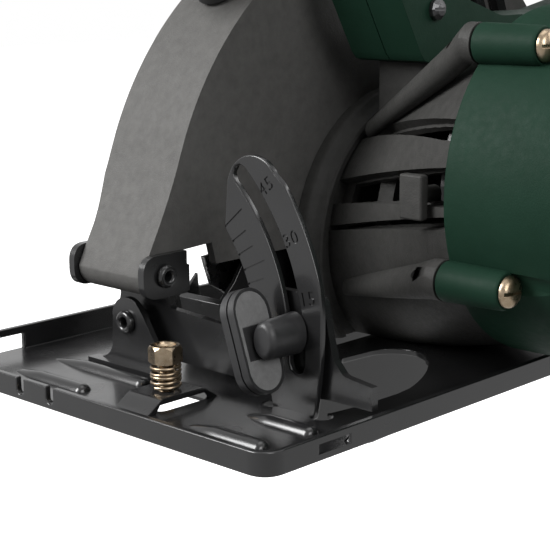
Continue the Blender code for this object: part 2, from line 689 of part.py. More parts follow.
def upper_guard():
    nose = [(44.3, 61.0), (41.0, 53.6), (37.4, 47.2), (31.8, 40.0), (59.6, 41.7), (61.4, GUARD_FLOOR - 0.1)]
    outer = guard_outline(GUARD_RADIUS, GUARD_FLOOR, nose)
    guard = slab("upper_guard", "side", outer, *GUARD_ACROSS, CAST_GREY)
    guard = round_rims(guard, 2.2)
    inside_nose = [(48.0, 63.0), (45.0, 55.0), (49.0, 46.0), (49.0, 20.0)]
    inner = guard_outline(GUARD_RADIUS - 3.5, 20.0, inside_nose)
    cavity = slab("cavity", "side", inner, GUARD_ACROSS[0] + GUARD_WALL, GUARD_ACROSS[1] - GUARD_WALL)
    guard = cut(guard, cavity)
    boss = arc((DEPTH_BACK, DEPTH_UP), 7.0, 180, 360, 15) + [(44.6, 46.6), (38.2, 46.6), (32.6, 41.0)]
    guard = join(guard, slab("boss", "side", boss, GUARD_ACROSS[0] + 0.2, 110.3))
    spindle_hole = rod("spindle_hole", "across", SPINDLE_AXIS, 18.5, 78, 88, steps=20)
    bolt_access = rod("bolt_access", "across", SPINDLE_AXIS, 30.0, 108, 118, steps=24)
    pin_hole = rod("pin_hole", "across", (DEPTH_BACK, 0, DEPTH_UP), 3.0, 70, 120, steps=14)
    ear_room = tube("ear_room", "across", (DEPTH_BACK, 0, DEPTH_UP), 3.5, 12.8, 110.5, 118, steps=20)
    stud_hole = rod("stud_hole", "across", (LOCK_CENTRE[0], 0, LOCK_CENTRE[1]), 2.8, 78, 88, steps=12)
    return cut(guard, spindle_hole, bolt_access, pin_hole, ear_room, stud_hole)


def lower_guard():
    """Swinging cover: a rim band with a narrow far lip, and a near wall on a hub ring.

    Its leading edge slopes back from the workpiece, so the front teeth show above the base.
    """
    near, far = 90.0, 109.4
    centre = SPINDLE_AXIS
    trailing = [(172.0, 56.6), (128.0, 56.2)]
    leading = [(100.0, 47.0), (86.0, 36.0), (78.0, 24.5)]
    outline = arc(SPINDLE_CENTRE, LOWER_GUARD_RADIUS, 190.0, 372.0, 6.0) + trailing + leading
    guard = slab("lower_guard", "side", outline, near, far, BLACK_STEEL)
    guard = join(guard, rod("hub", "across", centre, 23.0, 87.6, 91.2, steps=24))
    return cut(guard,
               rod("hollow", "across", centre, LOWER_GUARD_RADIUS - 1.7, near + 1.6, far - 1.5, steps=44),
               rod("far_opening", "across", centre, LOWER_GUARD_RADIUS - 8.0, far - 2.5, far + 5, steps=44),
               rod("hub_bore", "across", centre, 16.4, 80, 100.0, steps=24))


def lower_guard_lever():
    """Thumb lever riveted to the outside of the rim band."""
    foot = LOWER_GUARD_RADIUS + GAP
    top = polar(SPINDLE_CENTRE, LOWER_GUARD_RADIUS + 7.0, 213.0)
    outline = [polar(SPINDLE_CENTRE, foot, 206.0), polar(SPINDLE_CENTRE, foot, 212.0),
               polar(SPINDLE_CENTRE, foot, 219.0), *arc(top, 3.0, 300, 130, 40)]
    return slab("lower_guard_lever", "side", outline, 93.0, 107.0, BLACK_PLASTIC)


# ---------------------------------------------------------------- gear case and motor

CASE_ROOT = (150.0, 34.0, 42.0)        # back, up and radius of the case where it meets the guard
CASE_END = (MOTOR_BACK, MOTOR_UP, 50.0)
LOCK_BUTTON = (18.5, 60.0)             # across and up of the spindle lock
LOCK_TAB_BACK = (79.0, 82.6)           # front and rear of its tab


def case_section(across, grow=0.0, count=48):
    """Ring of the cone that runs from the guard's flange to the motor housing."""
    t = (76.0 - across) / (76.0 - CASE_MOUTH)
    back, up, radius = (a + (b - a) * t for a, b in zip(CASE_ROOT, CASE_END))
    ring = []
    for i in range(count):
        x, z = polar((back, up), radius + grow, 360.0 * i / count)
        ring.append(place(x, across, z))
    return ring


def case_point(across, degrees, grow=0.0):
    t = (76.0 - across) / (76.0 - CASE_MOUTH)
    back, up, radius = (a + (b - a) * t for a, b in zip(CASE_ROOT, CASE_END))
    return polar((back, up), radius + grow, degrees)


def case_rib(name, degrees, root, end, root_grow=-1.5, end_grow=-1.5, sides=10):
    """A round cast rib along the cone; root and end are its radii at the guard and at the motor."""
    rings = []
    for across, size, grow in ((75.5, root, root_grow), (CASE_MOUTH, end, end_grow)):
        centre = case_point(across, degrees, grow)
        points = [polar(centre, size, 360.0 * i / sides) for i in range(sides)]
        rings.append([place(back, across, up) for back, up in points])
    return loft(name, rings)


def gear_case():
    case = loft("gear_case", [case_section(76.0), case_section(CASE_MOUTH)], CAST_GREY)
    flange = turned("flange", [(0, 74.2), (46.6, 74.2), (47.2, 72.2), (49.4, 72.2), (51.0, 74.6),
                               (53.3, 77.5), (53.3, GUARD_ACROSS[0] - GAP), (0, GUARD_ACROSS[0] - GAP)],
                    "across", SPINDLE_AXIS, steps=32)
    case = join(case, flange)
    for degrees, root, end in ((150, 4.6, 2.0), (166, 5.2, 2.2), (186, 5.0, 2.2), (20, 4.6, 2.2),
                               (355, 4.6, 2.2)):
        case = join(case, case_rib("rib", degrees, root, end))
    for degrees in SCREW_ANGLES:
        case = join(case, case_rib("screw_rib", degrees, 3.5, 6.0, 0.0, SCREW_CIRCLE - CASE_END[2], 14))
    pad = block("handle_pad", (118, 168), (41, 63), (60.0, HANDLE_FLOOR - 2 * GAP))
    case = join(case, pad)
    hollow = loft("hollow", [case_section(70.5, -3.8), case_section(CASE_MOUTH - 4.0, -3.8)])
    hollow = cut(hollow, block("floor", (60, 240), (-20, 100), (-60, FLOOR + 2.8)))
    case = cut(case, hollow,
               block("level", (60, 240), (-20, 100), (-60, FLOOR)),
               rod("pinion_room", "across", MOTOR_AXIS, 11.4, 54.0, 70.9, steps=16),
               block("button_room", (80.0, 86.0), (13.9, 23.1), (52.9, 67.1)))
    case = join(case, rod("collar", "across", SPINDLE_AXIS, 16.0, 71.0, 92.4, steps=24))
    case = cut(case, rod("spindle_bore", "across", SPINDLE_AXIS, 8.4, 60, 99, steps=16),
               rod("lock_hole", "back", (0, *LOCK_BUTTON), 3.0, 80, 96, steps=12))
    for i in range(4):
        x, z = screw_station(i)
        case = cut(case, rod("screw_hole", "across", (x, 0, z), 2.4, 0, 18, steps=10))
    # deep vents between the cast ribs
    for degrees in (158.0, 176.0):
        x, z = case_point(25.0, degrees, -1.0)
        case = cut(case, rod("vent", "across", (x, 0, z), 2.3, 26.0, 48.0, steps=8))
    return case


def screw_station(index):
    return polar(MOTOR_CENTRE, SCREW_CIRCLE, SCREW_ANGLES[index])


def motor_housing():
    r = HOUSING_RADIUS
    mouth = CASE_MOUTH - GAP
    profile = [(0, mouth), (r, mouth), (r - 0.3, -14.0), (r - 2.6, -32.0), (r - 3.6, HOUSING_END),
               (0, HOUSING_END)]
    housing = turned("motor_housing", profile, "across", MOTOR_AXIS, GREEN_SHELL, steps=32)
    inside = rod("inside", "across", MOTOR_AXIS, r - 6.6, HOUSING_END - 5, mouth + 5, steps=32)
    for i in range(4):
        x, z = screw_station(i)
        housing = join(housing, turned("boss", [(0, mouth), (6.0, mouth), (5.6, -15.0), (0, -15.0)],
                                       "across", (x, 0, z), steps=12))
    housing = cut(housing, inside)
    for i in range(4):
        x, z = screw_station(i)
        housing = cut(housing, rod("screw_hole", "across", (x, 0, z), 2.4, -20, mouth + 5, steps=10),
                      rod("head_room", "across", (x, 0, z), 5.2, -32, -15, steps=12))
    return housing


def motor_end_cap():
    r = HOUSING_RADIUS - 3.6
    start = HOUSING_END - GAP
    profile = [(r - 2.8, start), (r, start), (r - 0.6, -96.0), (r - 4.0, -103.0), (r - 10.0, CAP_END),
               (13.0, CAP_END), (13.0, CAP_END + 3.0), (r - 11.0, CAP_END + 3.0), (r - 6.4, -101.0)]
    cap = turned("motor_end_cap", profile, "across", MOTOR_AXIS, BLACK_PLASTIC, steps=24,
                 ring=True)
    plug = rod("plug", "across", MOTOR_AXIS, 14.0, CAP_END + 0.2, CAP_END + 12.0, steps=16)
    cap = join(cap, plug)
    cap = cut(cap, rod("bearing_seat", "across", MOTOR_AXIS, 9.4, CAP_END + 3.0, 0, steps=16))
    for i in range(8):
        x, z = polar(MOTOR_CENTRE, 30.0, 45.0 * i)
        slot = rectangle((-8.0, -1.6), (8.0, 1.6))
        angle = math.radians(45.0 * i)
        turned_slot = [(x + a * math.cos(angle) - b * math.sin(angle),
                        z + a * math.sin(angle) + b * math.cos(angle))
                       for a, b in slot]
        cap = cut(cap, slab("vent", "side", turned_slot, CAP_END - 5, CAP_END + 6))
    return cap


def pan_screw(name, centre, head_across, shank, length, head=4.6, mat=None):
    """Pan head screw whose head faces the motor's end."""
    h = head_across
    profile = [(0, h - 2.6), (head * 0.6, h - 2.4), (head, h - 1.2), (head, h), (shank, h),
               (shank, h + length),
               (0, h + length)]
    screw = turned(name, profile, "across", (centre[0], 0, centre[1]), mat or YELLOW_ZINC, steps=10)
    slot = block("slot", (centre[0] - 4, centre[0] + 4), (h - 4, h - 1.7), (centre[1] - 0.5, centre[1] + 0.5))
    return cut(screw, slot)


def gear_outline(centre, teeth, phase, backlash=0.16):
    """Straight flanked teeth with a thinned pitch width for running clearance."""
    pitch_radius = GEAR_MODULE * teeth / 2
    pitch = 360.0 / teeth
    tip, root = pitch_radius + 0.85 * GEAR_MODULE, pitch_radius - 1.2 * GEAR_MODULE
    half_root, half_tip = (0.34 - backlash / 2) * pitch, 0.11 * pitch
    outline = []
    for i in range(teeth):
        middle = phase + i * pitch
        outline += [polar(centre, root, middle - half_root), polar(centre, tip, middle - half_tip),
                    polar(centre, tip, middle + half_tip), polar(centre, root, middle + half_root)]
    return outline


def drive_train():
    line = math.degrees(GEAR_LINE)
    gear = slab("spindle_gear", "side", gear_outline(SPINDLE_CENTRE, GEAR_TEETH, line + 180.0 / GEAR_TEETH),
                *GEAR_ACROSS, DARK_STEEL, holes=(arc(SPINDLE_CENTRE, 8.2, 0, 345, 15),))
    shaft = slab("armature_shaft", "side", gear_outline(MOTOR_CENTRE, PINION_TEETH, line + 180.0),
                 GEAR_ACROSS[0] - 1.0, GEAR_ACROSS[1] + 1.0, DARK_STEEL)
    join(shaft, rod("rod", "across", MOTOR_AXIS, 4.5, -101.0, GEAR_ACROSS[0] - 0.5, steps=12))
    turned("spindle", [(0, 48.5), (5.5, 48.5), (5.5, 55.5), (7.9, 55.5), (7.9, 98.9), (9.6, 98.9),
                       (9.6, 100.9),
                       (7.9, 100.9), (7.9, 103.0), (0, 103.0)],
           "across", SPINDLE_AXIS, BRIGHT_STEEL, steps=16)
    slab("bearing_plate", "side", arc(case_centre(50.0), 37.8, 0, 352, 8), 47.0, 53.0, CAST_GREY,
         holes=(arc(SPINDLE_CENTRE, 9.3, 0, 345, 15), arc(MOTOR_CENTRE, 9.3, 0, 345, 15)))
    tube("spindle_bearing", "across", SPINDLE_AXIS, 5.8, 9.0, 47.5, 52.5, BRIGHT_STEEL, 16)
    tube("armature_front_bearing", "across", MOTOR_AXIS, 4.8, 9.0, 47.5, 52.5, BRIGHT_STEEL, 16)
    tube("armature_rear_bearing", "across", MOTOR_AXIS, 4.8, 9.0, CAP_END + 6.0, CAP_END + 12.0,
         BRIGHT_STEEL, 16)
    tube("field_stator", "across", MOTOR_AXIS, 28.0, 45.8, -70.0, -24.0, DARK_STEEL, 24)
    tube("armature_core", "across", MOTOR_AXIS, 4.8, 26.5, -68.0, -26.0, COPPER, 20)
    tube("commutator", "across", MOTOR_AXIS, 4.8, 12.5, -90.0, -76.0, COPPER, 16)
    fan()


def case_centre(across):
    t = (76.0 - across) / (76.0 - CASE_MOUTH)
    return tuple(a + (b - a) * t for a, b in zip(CASE_ROOT[:2], CASE_END[:2]))


def fan():
    """Cooling fan: a ring with eight blades on its motor side."""
    wheel = tube("cooling_fan", "across", MOTOR_AXIS, 4.8, 33.0, 20.0, 22.0, BLACK_PLASTIC, 24)
    for i in range(8):
        angle = 45.0 * i
        a, b = polar(MOTOR_CENTRE, 20.0, angle - 2), polar(MOTOR_CENTRE, 20.0, angle + 2)
        c, d = polar(MOTOR_CENTRE, 32.0, angle + 8), polar(MOTOR_CENTRE, 32.0, angle + 5)
        wheel = join(wheel, slab("blade", "side", [a, d, c, b], 12.0, 20.5))
    return wheel


def blade():
    """Steel disc with gullets in front of each tooth."""
    pitch = 360.0 / BLADE_TEETH
    outline = []
    tooth = ((0.0, 0.0), (1.0, 2.6), (2.8, 8.0), (7.5, 11.2), (9.0, 12.8), (7.6, 14.4))   # depth, degrees
    for i in range(BLADE_TEETH):
        outline += [polar(SPINDLE_CENTRE, BLADE_RADIUS - depth, i * pitch + along) for depth, along in tooth]
    return slab("saw_blade", "side", outline, BLADE_ACROSS - 0.8, BLADE_ACROSS + 0.8, BLADE_STEEL,
                holes=(arc(SPINDLE_CENTRE, 8.2, 0, 345, 15),))


def arbor_group():
    centre = SPINDLE_AXIS
    turned("inner_flange", [(9.9, 97.4), (18.0, 97.4), (20.0, 98.4), (20.0, 100.9), (9.9, 100.9)], "across",
           centre,
           DARK_STEEL, steps=20, ring=True)
    turned("outer_flange", [(4.3, 103.3), (20.0, 103.3), (20.0, 104.4), (17.0, 106.3), (4.3, 106.3)],
           "across",
           centre, DARK_STEEL, steps=20, ring=True)
    hexagon = [polar(SPINDLE_CENTRE, 7.6, 60.0 * i) for i in range(6)]
    bolt = slab("blade_bolt", "side", hexagon, 106.6, 111.6, BRIGHT_STEEL)
    join(bolt, rod("thread", "across", centre, 4.0, 103.3, 107.0, steps=12))


def spindle_lock():
    """Push button that stops the spindle: a plain tab in front of the gear case."""
    tab = block("spindle_lock_button", LOCK_TAB_BACK, (14.4, 22.6), (53.4, 66.6), CAST_GREY)
    tab = bevel(tab, 0.6, 2, 60.0)
    stem = rod("stem", "back", (0, *LOCK_BUTTON), 2.6, 82.0, 91.0, steps=12)
    return join(tab, stem)


def brush_cap(name, degrees):
    """Slotted brush cap seated on the housing."""
    across = -80.0
    radius = HOUSING_RADIUS - 3.1
    cap = turned(name, [(0, 0.0), (6.5, 0.0), (6.5, 1.4), (5.6, 2.4), (0, 2.4)], "up",
                 (MOTOR_BACK, across, MOTOR_UP),
                 BLACK_PLASTIC, steps=16)
    slot = block("slot", (MOTOR_BACK - 4.5, MOTOR_BACK + 4.5), (across - 0.8, across + 0.8),
                 (MOTOR_UP + 1.2, MOTOR_UP + 4))
    cap = cut(cap, slot)
    pivot = place(MOTOR_BACK, across, MOTOR_UP)
    turn = Matrix.Rotation(math.radians(degrees), 4, "Y")
    cap.data.transform(Matrix.Translation(pivot) @ turn @ Matrix.Translation(Vector((0, 0, radius * MM)))
                       @ Matrix.Translation(-pivot))
    return cap


def carbon_brush(name, degrees):
    """Brush and holder that run from the commutator out to the housing wall."""
    brush = block(name, (MOTOR_BACK - 3, MOTOR_BACK + 3), (-86.0, -80.0),
                  (MOTOR_UP + 12.9, MOTOR_UP + 45.8), CARBON)
    pivot = place(*MOTOR_AXIS)
    turn = Matrix.Rotation(math.radians(degrees), 4, "Y")
    brush.data.transform(Matrix.Translation(pivot) @ turn @ Matrix.Translation(-pivot))
    return brush


def head_group():
    upper_guard()
    gear_case()
    motor_housing()
    motor_end_cap()
    for i in range(4):
        pan_screw("motor_screw_%d" % (i + 1), screw_station(i), -15.3, 2.0, 30.0)
    drive_train()
    blade()
    arbor_group()
    lower_guard()
    lower_guard_lever()
    coil("guard_return_spring", SPINDLE_AXIS, "across", 17.4, 0.9, 84.9, 87.0, 2.0, BRIGHT_STEEL)
    spindle_lock()
    brush_cap("brush_cap_upper", -20.0)
    brush_cap("brush_cap_lower", 160.0)
    carbon_brush("carbon_brush_upper", -20.0)
    carbon_brush("carbon_brush_lower", 160.0)
    depth_lock()


def depth_lock():
    x, z = LOCK_CENTRE
    near = ARM_ACROSS[0]
    profile = [(0, 67.5), (2.5, 67.5), (2.5, 84.3), (5.2, 84.3), (4.6, 86.2), (0, 86.8)]
    turned("depth_lock_bolt", profile, "across", (x, 0, z), YELLOW_ZINC, steps=12)
    hub = tube("depth_lock_lever", "across", (x, 0, z), 2.8, 8.0, 69.0, near - GAP, BLACK_PLASTIC, 18)
    grip = rounded([(x - 5.5, z + 2), (x - 4.0, z + 38), (x + 4.0, z + 38), (x + 5.5, z + 2)], [0, 4, 4, 0])
    lever = join(hub, slab("grip", "side", grip, 69.0, 73.8))
    cut(lever, rod("bore", "across", (x, 0, z), 2.8, 60, 90, steps=14))


# ---------------------------------------------------------------- handle

def handle_outline():
    corners = [(110, HANDLE_FLOOR), (97, 118), (97, 152), (113, 175), (150, 183), (200, 176), (238, 154),
               (262, 128), (262, 103), (244, HANDLE_FLOOR)]
    return rounded(corners, [6, 12, 16, 16, 20, 20, 20, 8, 8, 10])


def handle_opening():
    return rounded([(127, 116), (124, 146), (150, 153), (194, 148), (222, 130), (232, 115), (200, 109),
                    (150, 109)],
                   [10, 10, 12, 16, 12, 5, 10, 14])


def handle_shell(name, inward):
    """Half of the D handle, hollow towards the parting plane; inward is +1 for the left half."""
    depth = (HANDLE_ACROSS[1] - HANDLE_ACROSS[0]) / 2
    outside = HANDLE_SPLIT - inward * depth
    edge = HANDLE_SPLIT - inward * GAP / 2
    spare = 5.0
    shell = slab(name, "side", handle_outline(), *sorted((outside, edge + inward * spare)), GREEN_SHELL,
                 holes=(handle_opening(),))
    shell = cut(shell,
                block("parting", (60, 300), sorted((edge, edge + inward * 20)), (60, 220)),
                slab("cavity", "side", inset(handle_outline(), 4.2),
                     *sorted((outside + inward * 3, edge + inward * 9)),
                     holes=(inset(handle_opening(), -4.2),)),
                block("trigger_window", (136, 162), (HANDLE_SPLIT - 6.5, HANDLE_SPLIT + 6.5), (144, 160)),
                rod("cord_hole", "back", (0, HANDLE_SPLIT, CORD_UP), 5.4, 250, 270, steps=14))
    for x, z in HANDLE_SCREWS:
        post = rod("post", "across", (x, 0, z), 3.6, *sorted((outside + inward * 1, edge)), steps=10)
        shell = join(shell, post)
    for x, z in HANDLE_SCREWS:
        shell = cut(shell, rod("screw_hole", "across", (x, 0, z), 2.0, 30, 62.5, steps=8))
    return shell


def trigger():
    outline = rounded([(138.5, 162), (138.5, 147), (143, 141.5), (151, 144.5), (159.5, 141.5), (160.5, 150),
                       (160.5, 162.3)], [0, 3, 3, 5, 3, 3, 0])
    lever = slab("trigger", "side", outline, HANDLE_SPLIT - 5.8, HANDLE_SPLIT + 5.8, BLACK_PLASTIC)
    return bevel(lever, 0.8, 1, 60.0)


def handle_group():
    left = handle_shell("handle_shell_left", 1)
    cut(left, rod("lock_hole", "across", (LOCK_OFF[0], 0, LOCK_OFF[1]), 4.6, 30, 46, steps=14))
    handle_shell("handle_shell_right", -1)
    trigger()
    block("switch_body", (132, 160), (HANDLE_SPLIT - 7, HANDLE_SPLIT + 7), (168.2, 174.6), DARK_STEEL)
    turned("lock_off_button", [(0, 35.0), (3.0, 35.0), (4.2, 35.8), (4.2, 43.0), (5.6, 43.0), (5.6, 44.5),
                               (0, 44.5)],
           "across", (LOCK_OFF[0], 0, LOCK_OFF[1]), BLACK_PLASTIC, steps=14)
    turned("cord_inlet", [(3.0, 255.6), (6.6, 255.6), (6.6, 256.9), (5.1, 256.9), (5.1, 262.4), (6.6, 262.4),
                          (6.0, 268.0), (4.8, 274.0), (3.0, 274.0)],
           "back", (0, HANDLE_SPLIT, CORD_UP), BLACK_PLASTIC, steps=14, ring=True)
    for i, station in enumerate(HANDLE_SCREWS):
        pan_screw("handle_screw_%d" % (i + 1), station, HANDLE_ACROSS[0] - GAP, 1.6, 20.0, 3.4, DARK_STEEL)
    front_grip()


def front_grip():
    """Mushroom grip for the second hand, standing on the guard's crown."""
    centre = polar(SPINDLE_CENTRE, GUARD_RADIUS + GAP, 128.0)
    profile = [(0, 0.6), (9.0, 0.6), (9.5, 4.0), (9.0, 12.0), (14.5, 17.0), (17.5, 26.0), (15.5, 36.0),
               (8.0, 41.0),
               (0, 42.0)]
    grip = turned("front_grip", profile, "up", (centre[0], 97.0, centre[1]), SOFT_GRIP, steps=20)
    pivot = place(centre[0], 97.0, centre[1])
    lean = Matrix.Rotation(math.radians(128.0 - 90.0), 4, "Y")
    grip.data.transform(Matrix.Translation(pivot) @ lean @ Matrix.Translation(-pivot))
    return grip


def shade():
    for obj in PARTS.objects:
        obj.data.shade_smooth()
        obj.data.set_sharp_from_angle(angle=math.radians(32.0))


def made_by(*groups):
    """Run the groups and list the pieces that they add."""
    before = set(PARTS.objects)
    for group in groups:
        group()
    return [obj for obj in PARTS.objects if obj not in before]


def hang(name, parent, point, pieces):
    """Hang a joint's pieces from an empty on its axis, their meshes measured from there."""
    axis = bpy.data.objects.new(name, None)
    PARTS.objects.link(axis)
    axis.parent = parent
    axis.location = point - (AXIS_POINTS[parent.name] if parent else Vector())
    AXIS_POINTS[name] = point
    for piece in pieces:
        piece.data.transform(Matrix.Translation(-point))
        piece.parent = axis
    return axis


def take(pieces, *names):
    """Remove the named pieces from a list and return them."""
    chosen = [piece for piece in pieces if piece.name in names]
    for piece in chosen:
        pieces.remove(piece)
    return chosen


def hang_pieces(base, tilt, head):
    """One empty for each joint of the record, on its axis."""
    spindle = place(*SPINDLE_AXIS)
    motor = place(*MOTOR_AXIS)
    hub = bevel_point(SLOT_RADIUS, KNOB_ANGLE)
    hang("fence_bolt_axis", None, place(*FENCE_BOLT, FENCE_HEAD[0]), take(base, "fence_clamp_bolt"))
    knob = take(tilt, "bevel_lock_knob")
    cover = take(head, "lower_guard", "lower_guard_lever")
    arbor = take(head, "spindle", "spindle_gear", "inner_flange", "saw_blade", "outer_flange", "blade_bolt")
    armature = take(head, "armature_shaft", "armature_core", "commutator", "cooling_fan")
    lever = take(head, "depth_lock_lever")
    button = take(head, "spindle_lock_button")
    lock_off = take(head, "lock_off_button")
    pull = take(head, "trigger")
    bevel_axis = hang("bevel_axis", None, place(FRONT_TILT_BACK[0], *BEVEL_CENTRE), tilt)
    hang("knob_axis", bevel_axis, place(KNOB_FRONT, *hub), knob)
    depth_axis = hang("depth_axis", bevel_axis, place(DEPTH_BACK, GUARD_ACROSS[0], DEPTH_UP), head)
    hang("cover_axis", depth_axis, spindle, cover)
    hang("arbor_axis", depth_axis, spindle, arbor)
    hang("armature_axis", depth_axis, motor, armature)
    hang("depth_lever_axis", depth_axis, place(LOCK_CENTRE[0], ARM_ACROSS[0], LOCK_CENTRE[1]), lever)
    hang("spindle_lock_axis", depth_axis, place(LOCK_TAB_BACK[0], *LOCK_BUTTON), button)
    hang("lock_off_axis", depth_axis, place(LOCK_OFF[0], HANDLE_ACROSS[0], LOCK_OFF[1]), lock_off)
    hang("trigger_axis", depth_axis, place(TRIGGER_BACK, HANDLE_SPLIT, TRIGGER_UP), pull)


def build():
    clear_scene()
    bpy.context.scene.collection.children.link(PARTS)
    base = made_by(base_group)
    tilt = made_by(tilt_group)
    head = made_by(head_group, handle_group)
    shade()
    hang_pieces(base, tilt, head)


build()
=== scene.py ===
"""Looks of the circular saw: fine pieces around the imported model, with procedural materials."""
import json
import math

import bmesh
import bpy
from mathutils import Matrix, Vector

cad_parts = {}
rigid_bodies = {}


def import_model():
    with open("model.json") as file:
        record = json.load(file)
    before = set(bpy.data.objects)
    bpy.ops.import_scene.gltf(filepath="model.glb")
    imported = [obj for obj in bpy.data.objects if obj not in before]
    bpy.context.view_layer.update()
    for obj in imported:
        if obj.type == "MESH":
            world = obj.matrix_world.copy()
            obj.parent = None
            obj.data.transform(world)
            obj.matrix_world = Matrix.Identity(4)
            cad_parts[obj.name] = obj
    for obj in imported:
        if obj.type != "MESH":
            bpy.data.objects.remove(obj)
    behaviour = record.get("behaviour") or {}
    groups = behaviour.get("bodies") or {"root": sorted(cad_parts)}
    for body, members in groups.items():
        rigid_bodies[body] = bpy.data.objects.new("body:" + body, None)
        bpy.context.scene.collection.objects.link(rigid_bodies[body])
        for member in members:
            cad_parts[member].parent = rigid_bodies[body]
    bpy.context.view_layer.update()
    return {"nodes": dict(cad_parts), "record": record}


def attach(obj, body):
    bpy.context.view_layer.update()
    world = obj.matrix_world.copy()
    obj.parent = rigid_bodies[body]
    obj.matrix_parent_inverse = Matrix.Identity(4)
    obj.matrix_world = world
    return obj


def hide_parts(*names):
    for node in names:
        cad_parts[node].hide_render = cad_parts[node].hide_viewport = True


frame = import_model()

MM = 0.001
GAP = 0.3

# stations in millimetres, laid out as in the record's frame: back, across, up
ORIGIN_BACK = 140.0
ORIGIN_ACROSS = 36.0
BASE_LENGTH = 280.0
BASE_WIDTH = 145.0
SHEET = 2.0
RIM_HEIGHT = 6.7
RIGHT_RIM_HEIGHT = 9.7
FENCE_SLOT_BACK = (20.0, 32.2)
BRIDGE_ACROSS = (56.5, 70.5)
FENCE_BOLT = (23.8, 63.5)
FENCE_HEAD = (14.0, 19.2)
BEVEL_CENTRE = (97.1, 17.6)
QUADRANT_BACK = 42.2
QUADRANT_RADIUS = 80.0
QUADRANT_TOP = (45.6, 63.2)
QUADRANT_TOP_RADIUS = 10.5
SCALE_RADIUS = 52.5
SLOT_RADIUS = 68.4
SLOT_HALF_WIDTH = 2.9
BEVEL_RANGE = 40.0
KNOB_ANGLE = 6.4
KNOB_FRONT = 28.5
EAR_BACK = (38.0, 40.0)
FRONT_TILT_BACK = (45.2, 47.7)
DEPTH_BACK = 37.6
DEPTH_UP = 35.0
SPINDLE_CENTRE = (150.0, 32.0)
SPINDLE_AXIS = (150.0, 0.0, 32.0)
MOTOR_CENTRE = (131.127, 60.732)
MOTOR_AXIS = (131.127, 0.0, 60.732)
LOCK_CENTRE = (214.273, 56.693)
GUARD_RADIUS = 109.5
GUARD_ACROSS = (81.0, 113.0)
GUARD_WALL = 3.0
GUARD_FLOOR = 34.8
FLOOR = 2.6
CASE_MOUTH = 6.3
CASE_ROOT = (150.0, 34.0, 42.0)
CASE_END = (131.127, 60.732, 50.0)
LOCK_BUTTON = (18.5, 60.0)
LOCK_TURN = 30
HOUSING_RADIUS = 53.0
HOUSING_END = -88.0
SCREW_CIRCLE = 55.9
SCREW_ANGLES = (205.0, 130.0, 50.0, 335.0)

# how finely things are made
FINE_STEP = 2.0                  # degrees between the points of a fine arc
FINE_TURN = 72                   # steps of a fine turned surface
WIDE_TURN = 96                   # steps of the widest ones
HOUSING_TURN = 128
SMALL_TURN = 40                  # steps of small round parts
GRIP_TURN = 64
BORE_TURN = 48                   # steps round a wide bore
HOLE_TURN = 32                   # steps round a small hole
SCREW_TURN = 24                  # steps round a screw hole
SHARP_ANGLE = 38.0               # degrees from which an edge stays crisp
WELD = 1e-6
WELD_NEAR = 0.02                 # welding before edges are rounded for good
MERGE_ANGLE = 0.3                # degrees, the same
FLAT_ANGLE = 0.4                 # degrees below which neighbouring faces count as one flat

# through cuts reach past the sheet on both sides
BELOW = -5.0
ABOVE = 15.0
CLEAR = 5.0                      # how far a cutter stands out past an edge
TALL = 20.0                      # top of a cutter above the rims

# holes and pins
PIVOT_HOLE = 2.9
PIN_HOLE = 3.0
BOLT_HOLE = 2.8
KNOB_THREAD = 2.7
SCREW_HOLE = 2.4
RIVET_BORE = 1.5
RIVET_SHANK = 2.6
RIVET_HEAD = 3.7
HEX_RADIUS = 5.0
HEX_TURN = 12.0                  # degrees
THREAD_PITCH = 0.82
THREAD_TURNS = 14

# the tilting bracket
TILT_LOW = 6.3
EAR_ACROSS = ((78.2, 80.7), (110.9, 113.4))

# the knob and its thumb bar
BAR_LENGTH = 30.0
BAR_WIDTH = 14.0
BAR_THICK = 5.6
BAR_CENTRE = (31.5, 24.3)
BAR_LEAN = 18.7                  # degrees
BOSS_OVAL = 0.74                 # its width against its height
BOSS_ROOM = 6.4

# the head
SHOULDER = 160.0                 # degrees, where the guard's nose leaves its round top
SHOULDER_NEAR = 157.0
GUARD_RIM = 2.2
HINGE_BOSS = 7.0
GUARD_SKIN = 3.5
CASE_SKIN = -3.4                 # the case's outer and inner skins against its nominal cone
CASE_INSIDE = -6.0
CASE_DEEP = -60.0
BELOW_CASE = ((60.0, 240.0), (-20.0, 100.0))     # back and across of the block that levels its underside
CASE_TOP_ACROSS = 76.0
BLOCK_TOP_ACROSS = 75.6
BLOCK_POINTS = 15
BLOCK_STATIONS = 9
VENT_HEIGHT = 4.0
VENT_SINK = -9.0
VENT_SPAN = (0.12, 0.93)         # parts of the case's length
RIB_ROOT = 60.0
SCREW_HEAD_ACROSS = -15.3
BOSS_END = -15.0
HEAD_ROOM = 5.2
GRIP_ANGLE = 128.0               # degrees
GRIP_ACROSS = 97.0


# ---------------------------------------------------------------- materials

NOISE_LOW = 0.3                  # the part of a noise that is used
NOISE_HIGH = 0.7


def node_material(name):
    mat = bpy.data.materials.new(name)
    mat.use_nodes = True
    tree = mat.node_tree
    shader = tree.nodes["Principled BSDF"]
    coords = tree.nodes.new("ShaderNodeTexCoord")
    return mat, tree, shader, coords


def noise(tree, coords, scale, detail=3.0, rough=0.55, stretch=(1, 1, 1)):
    mapping = tree.nodes.new("ShaderNodeMapping")
    mapping.inputs["Scale"].default_value = stretch
    tree.links.new(coords.outputs["Object"], mapping.inputs["Vector"])
    texture = tree.nodes.new("ShaderNodeTexNoise")
    texture.inputs["Scale"].default_value = scale
    texture.inputs["Detail"].default_value = detail
    texture.inputs["Roughness"].default_value = rough
    tree.links.new(mapping.outputs["Vector"], texture.inputs["Vector"])
    return texture.outputs["Fac"]


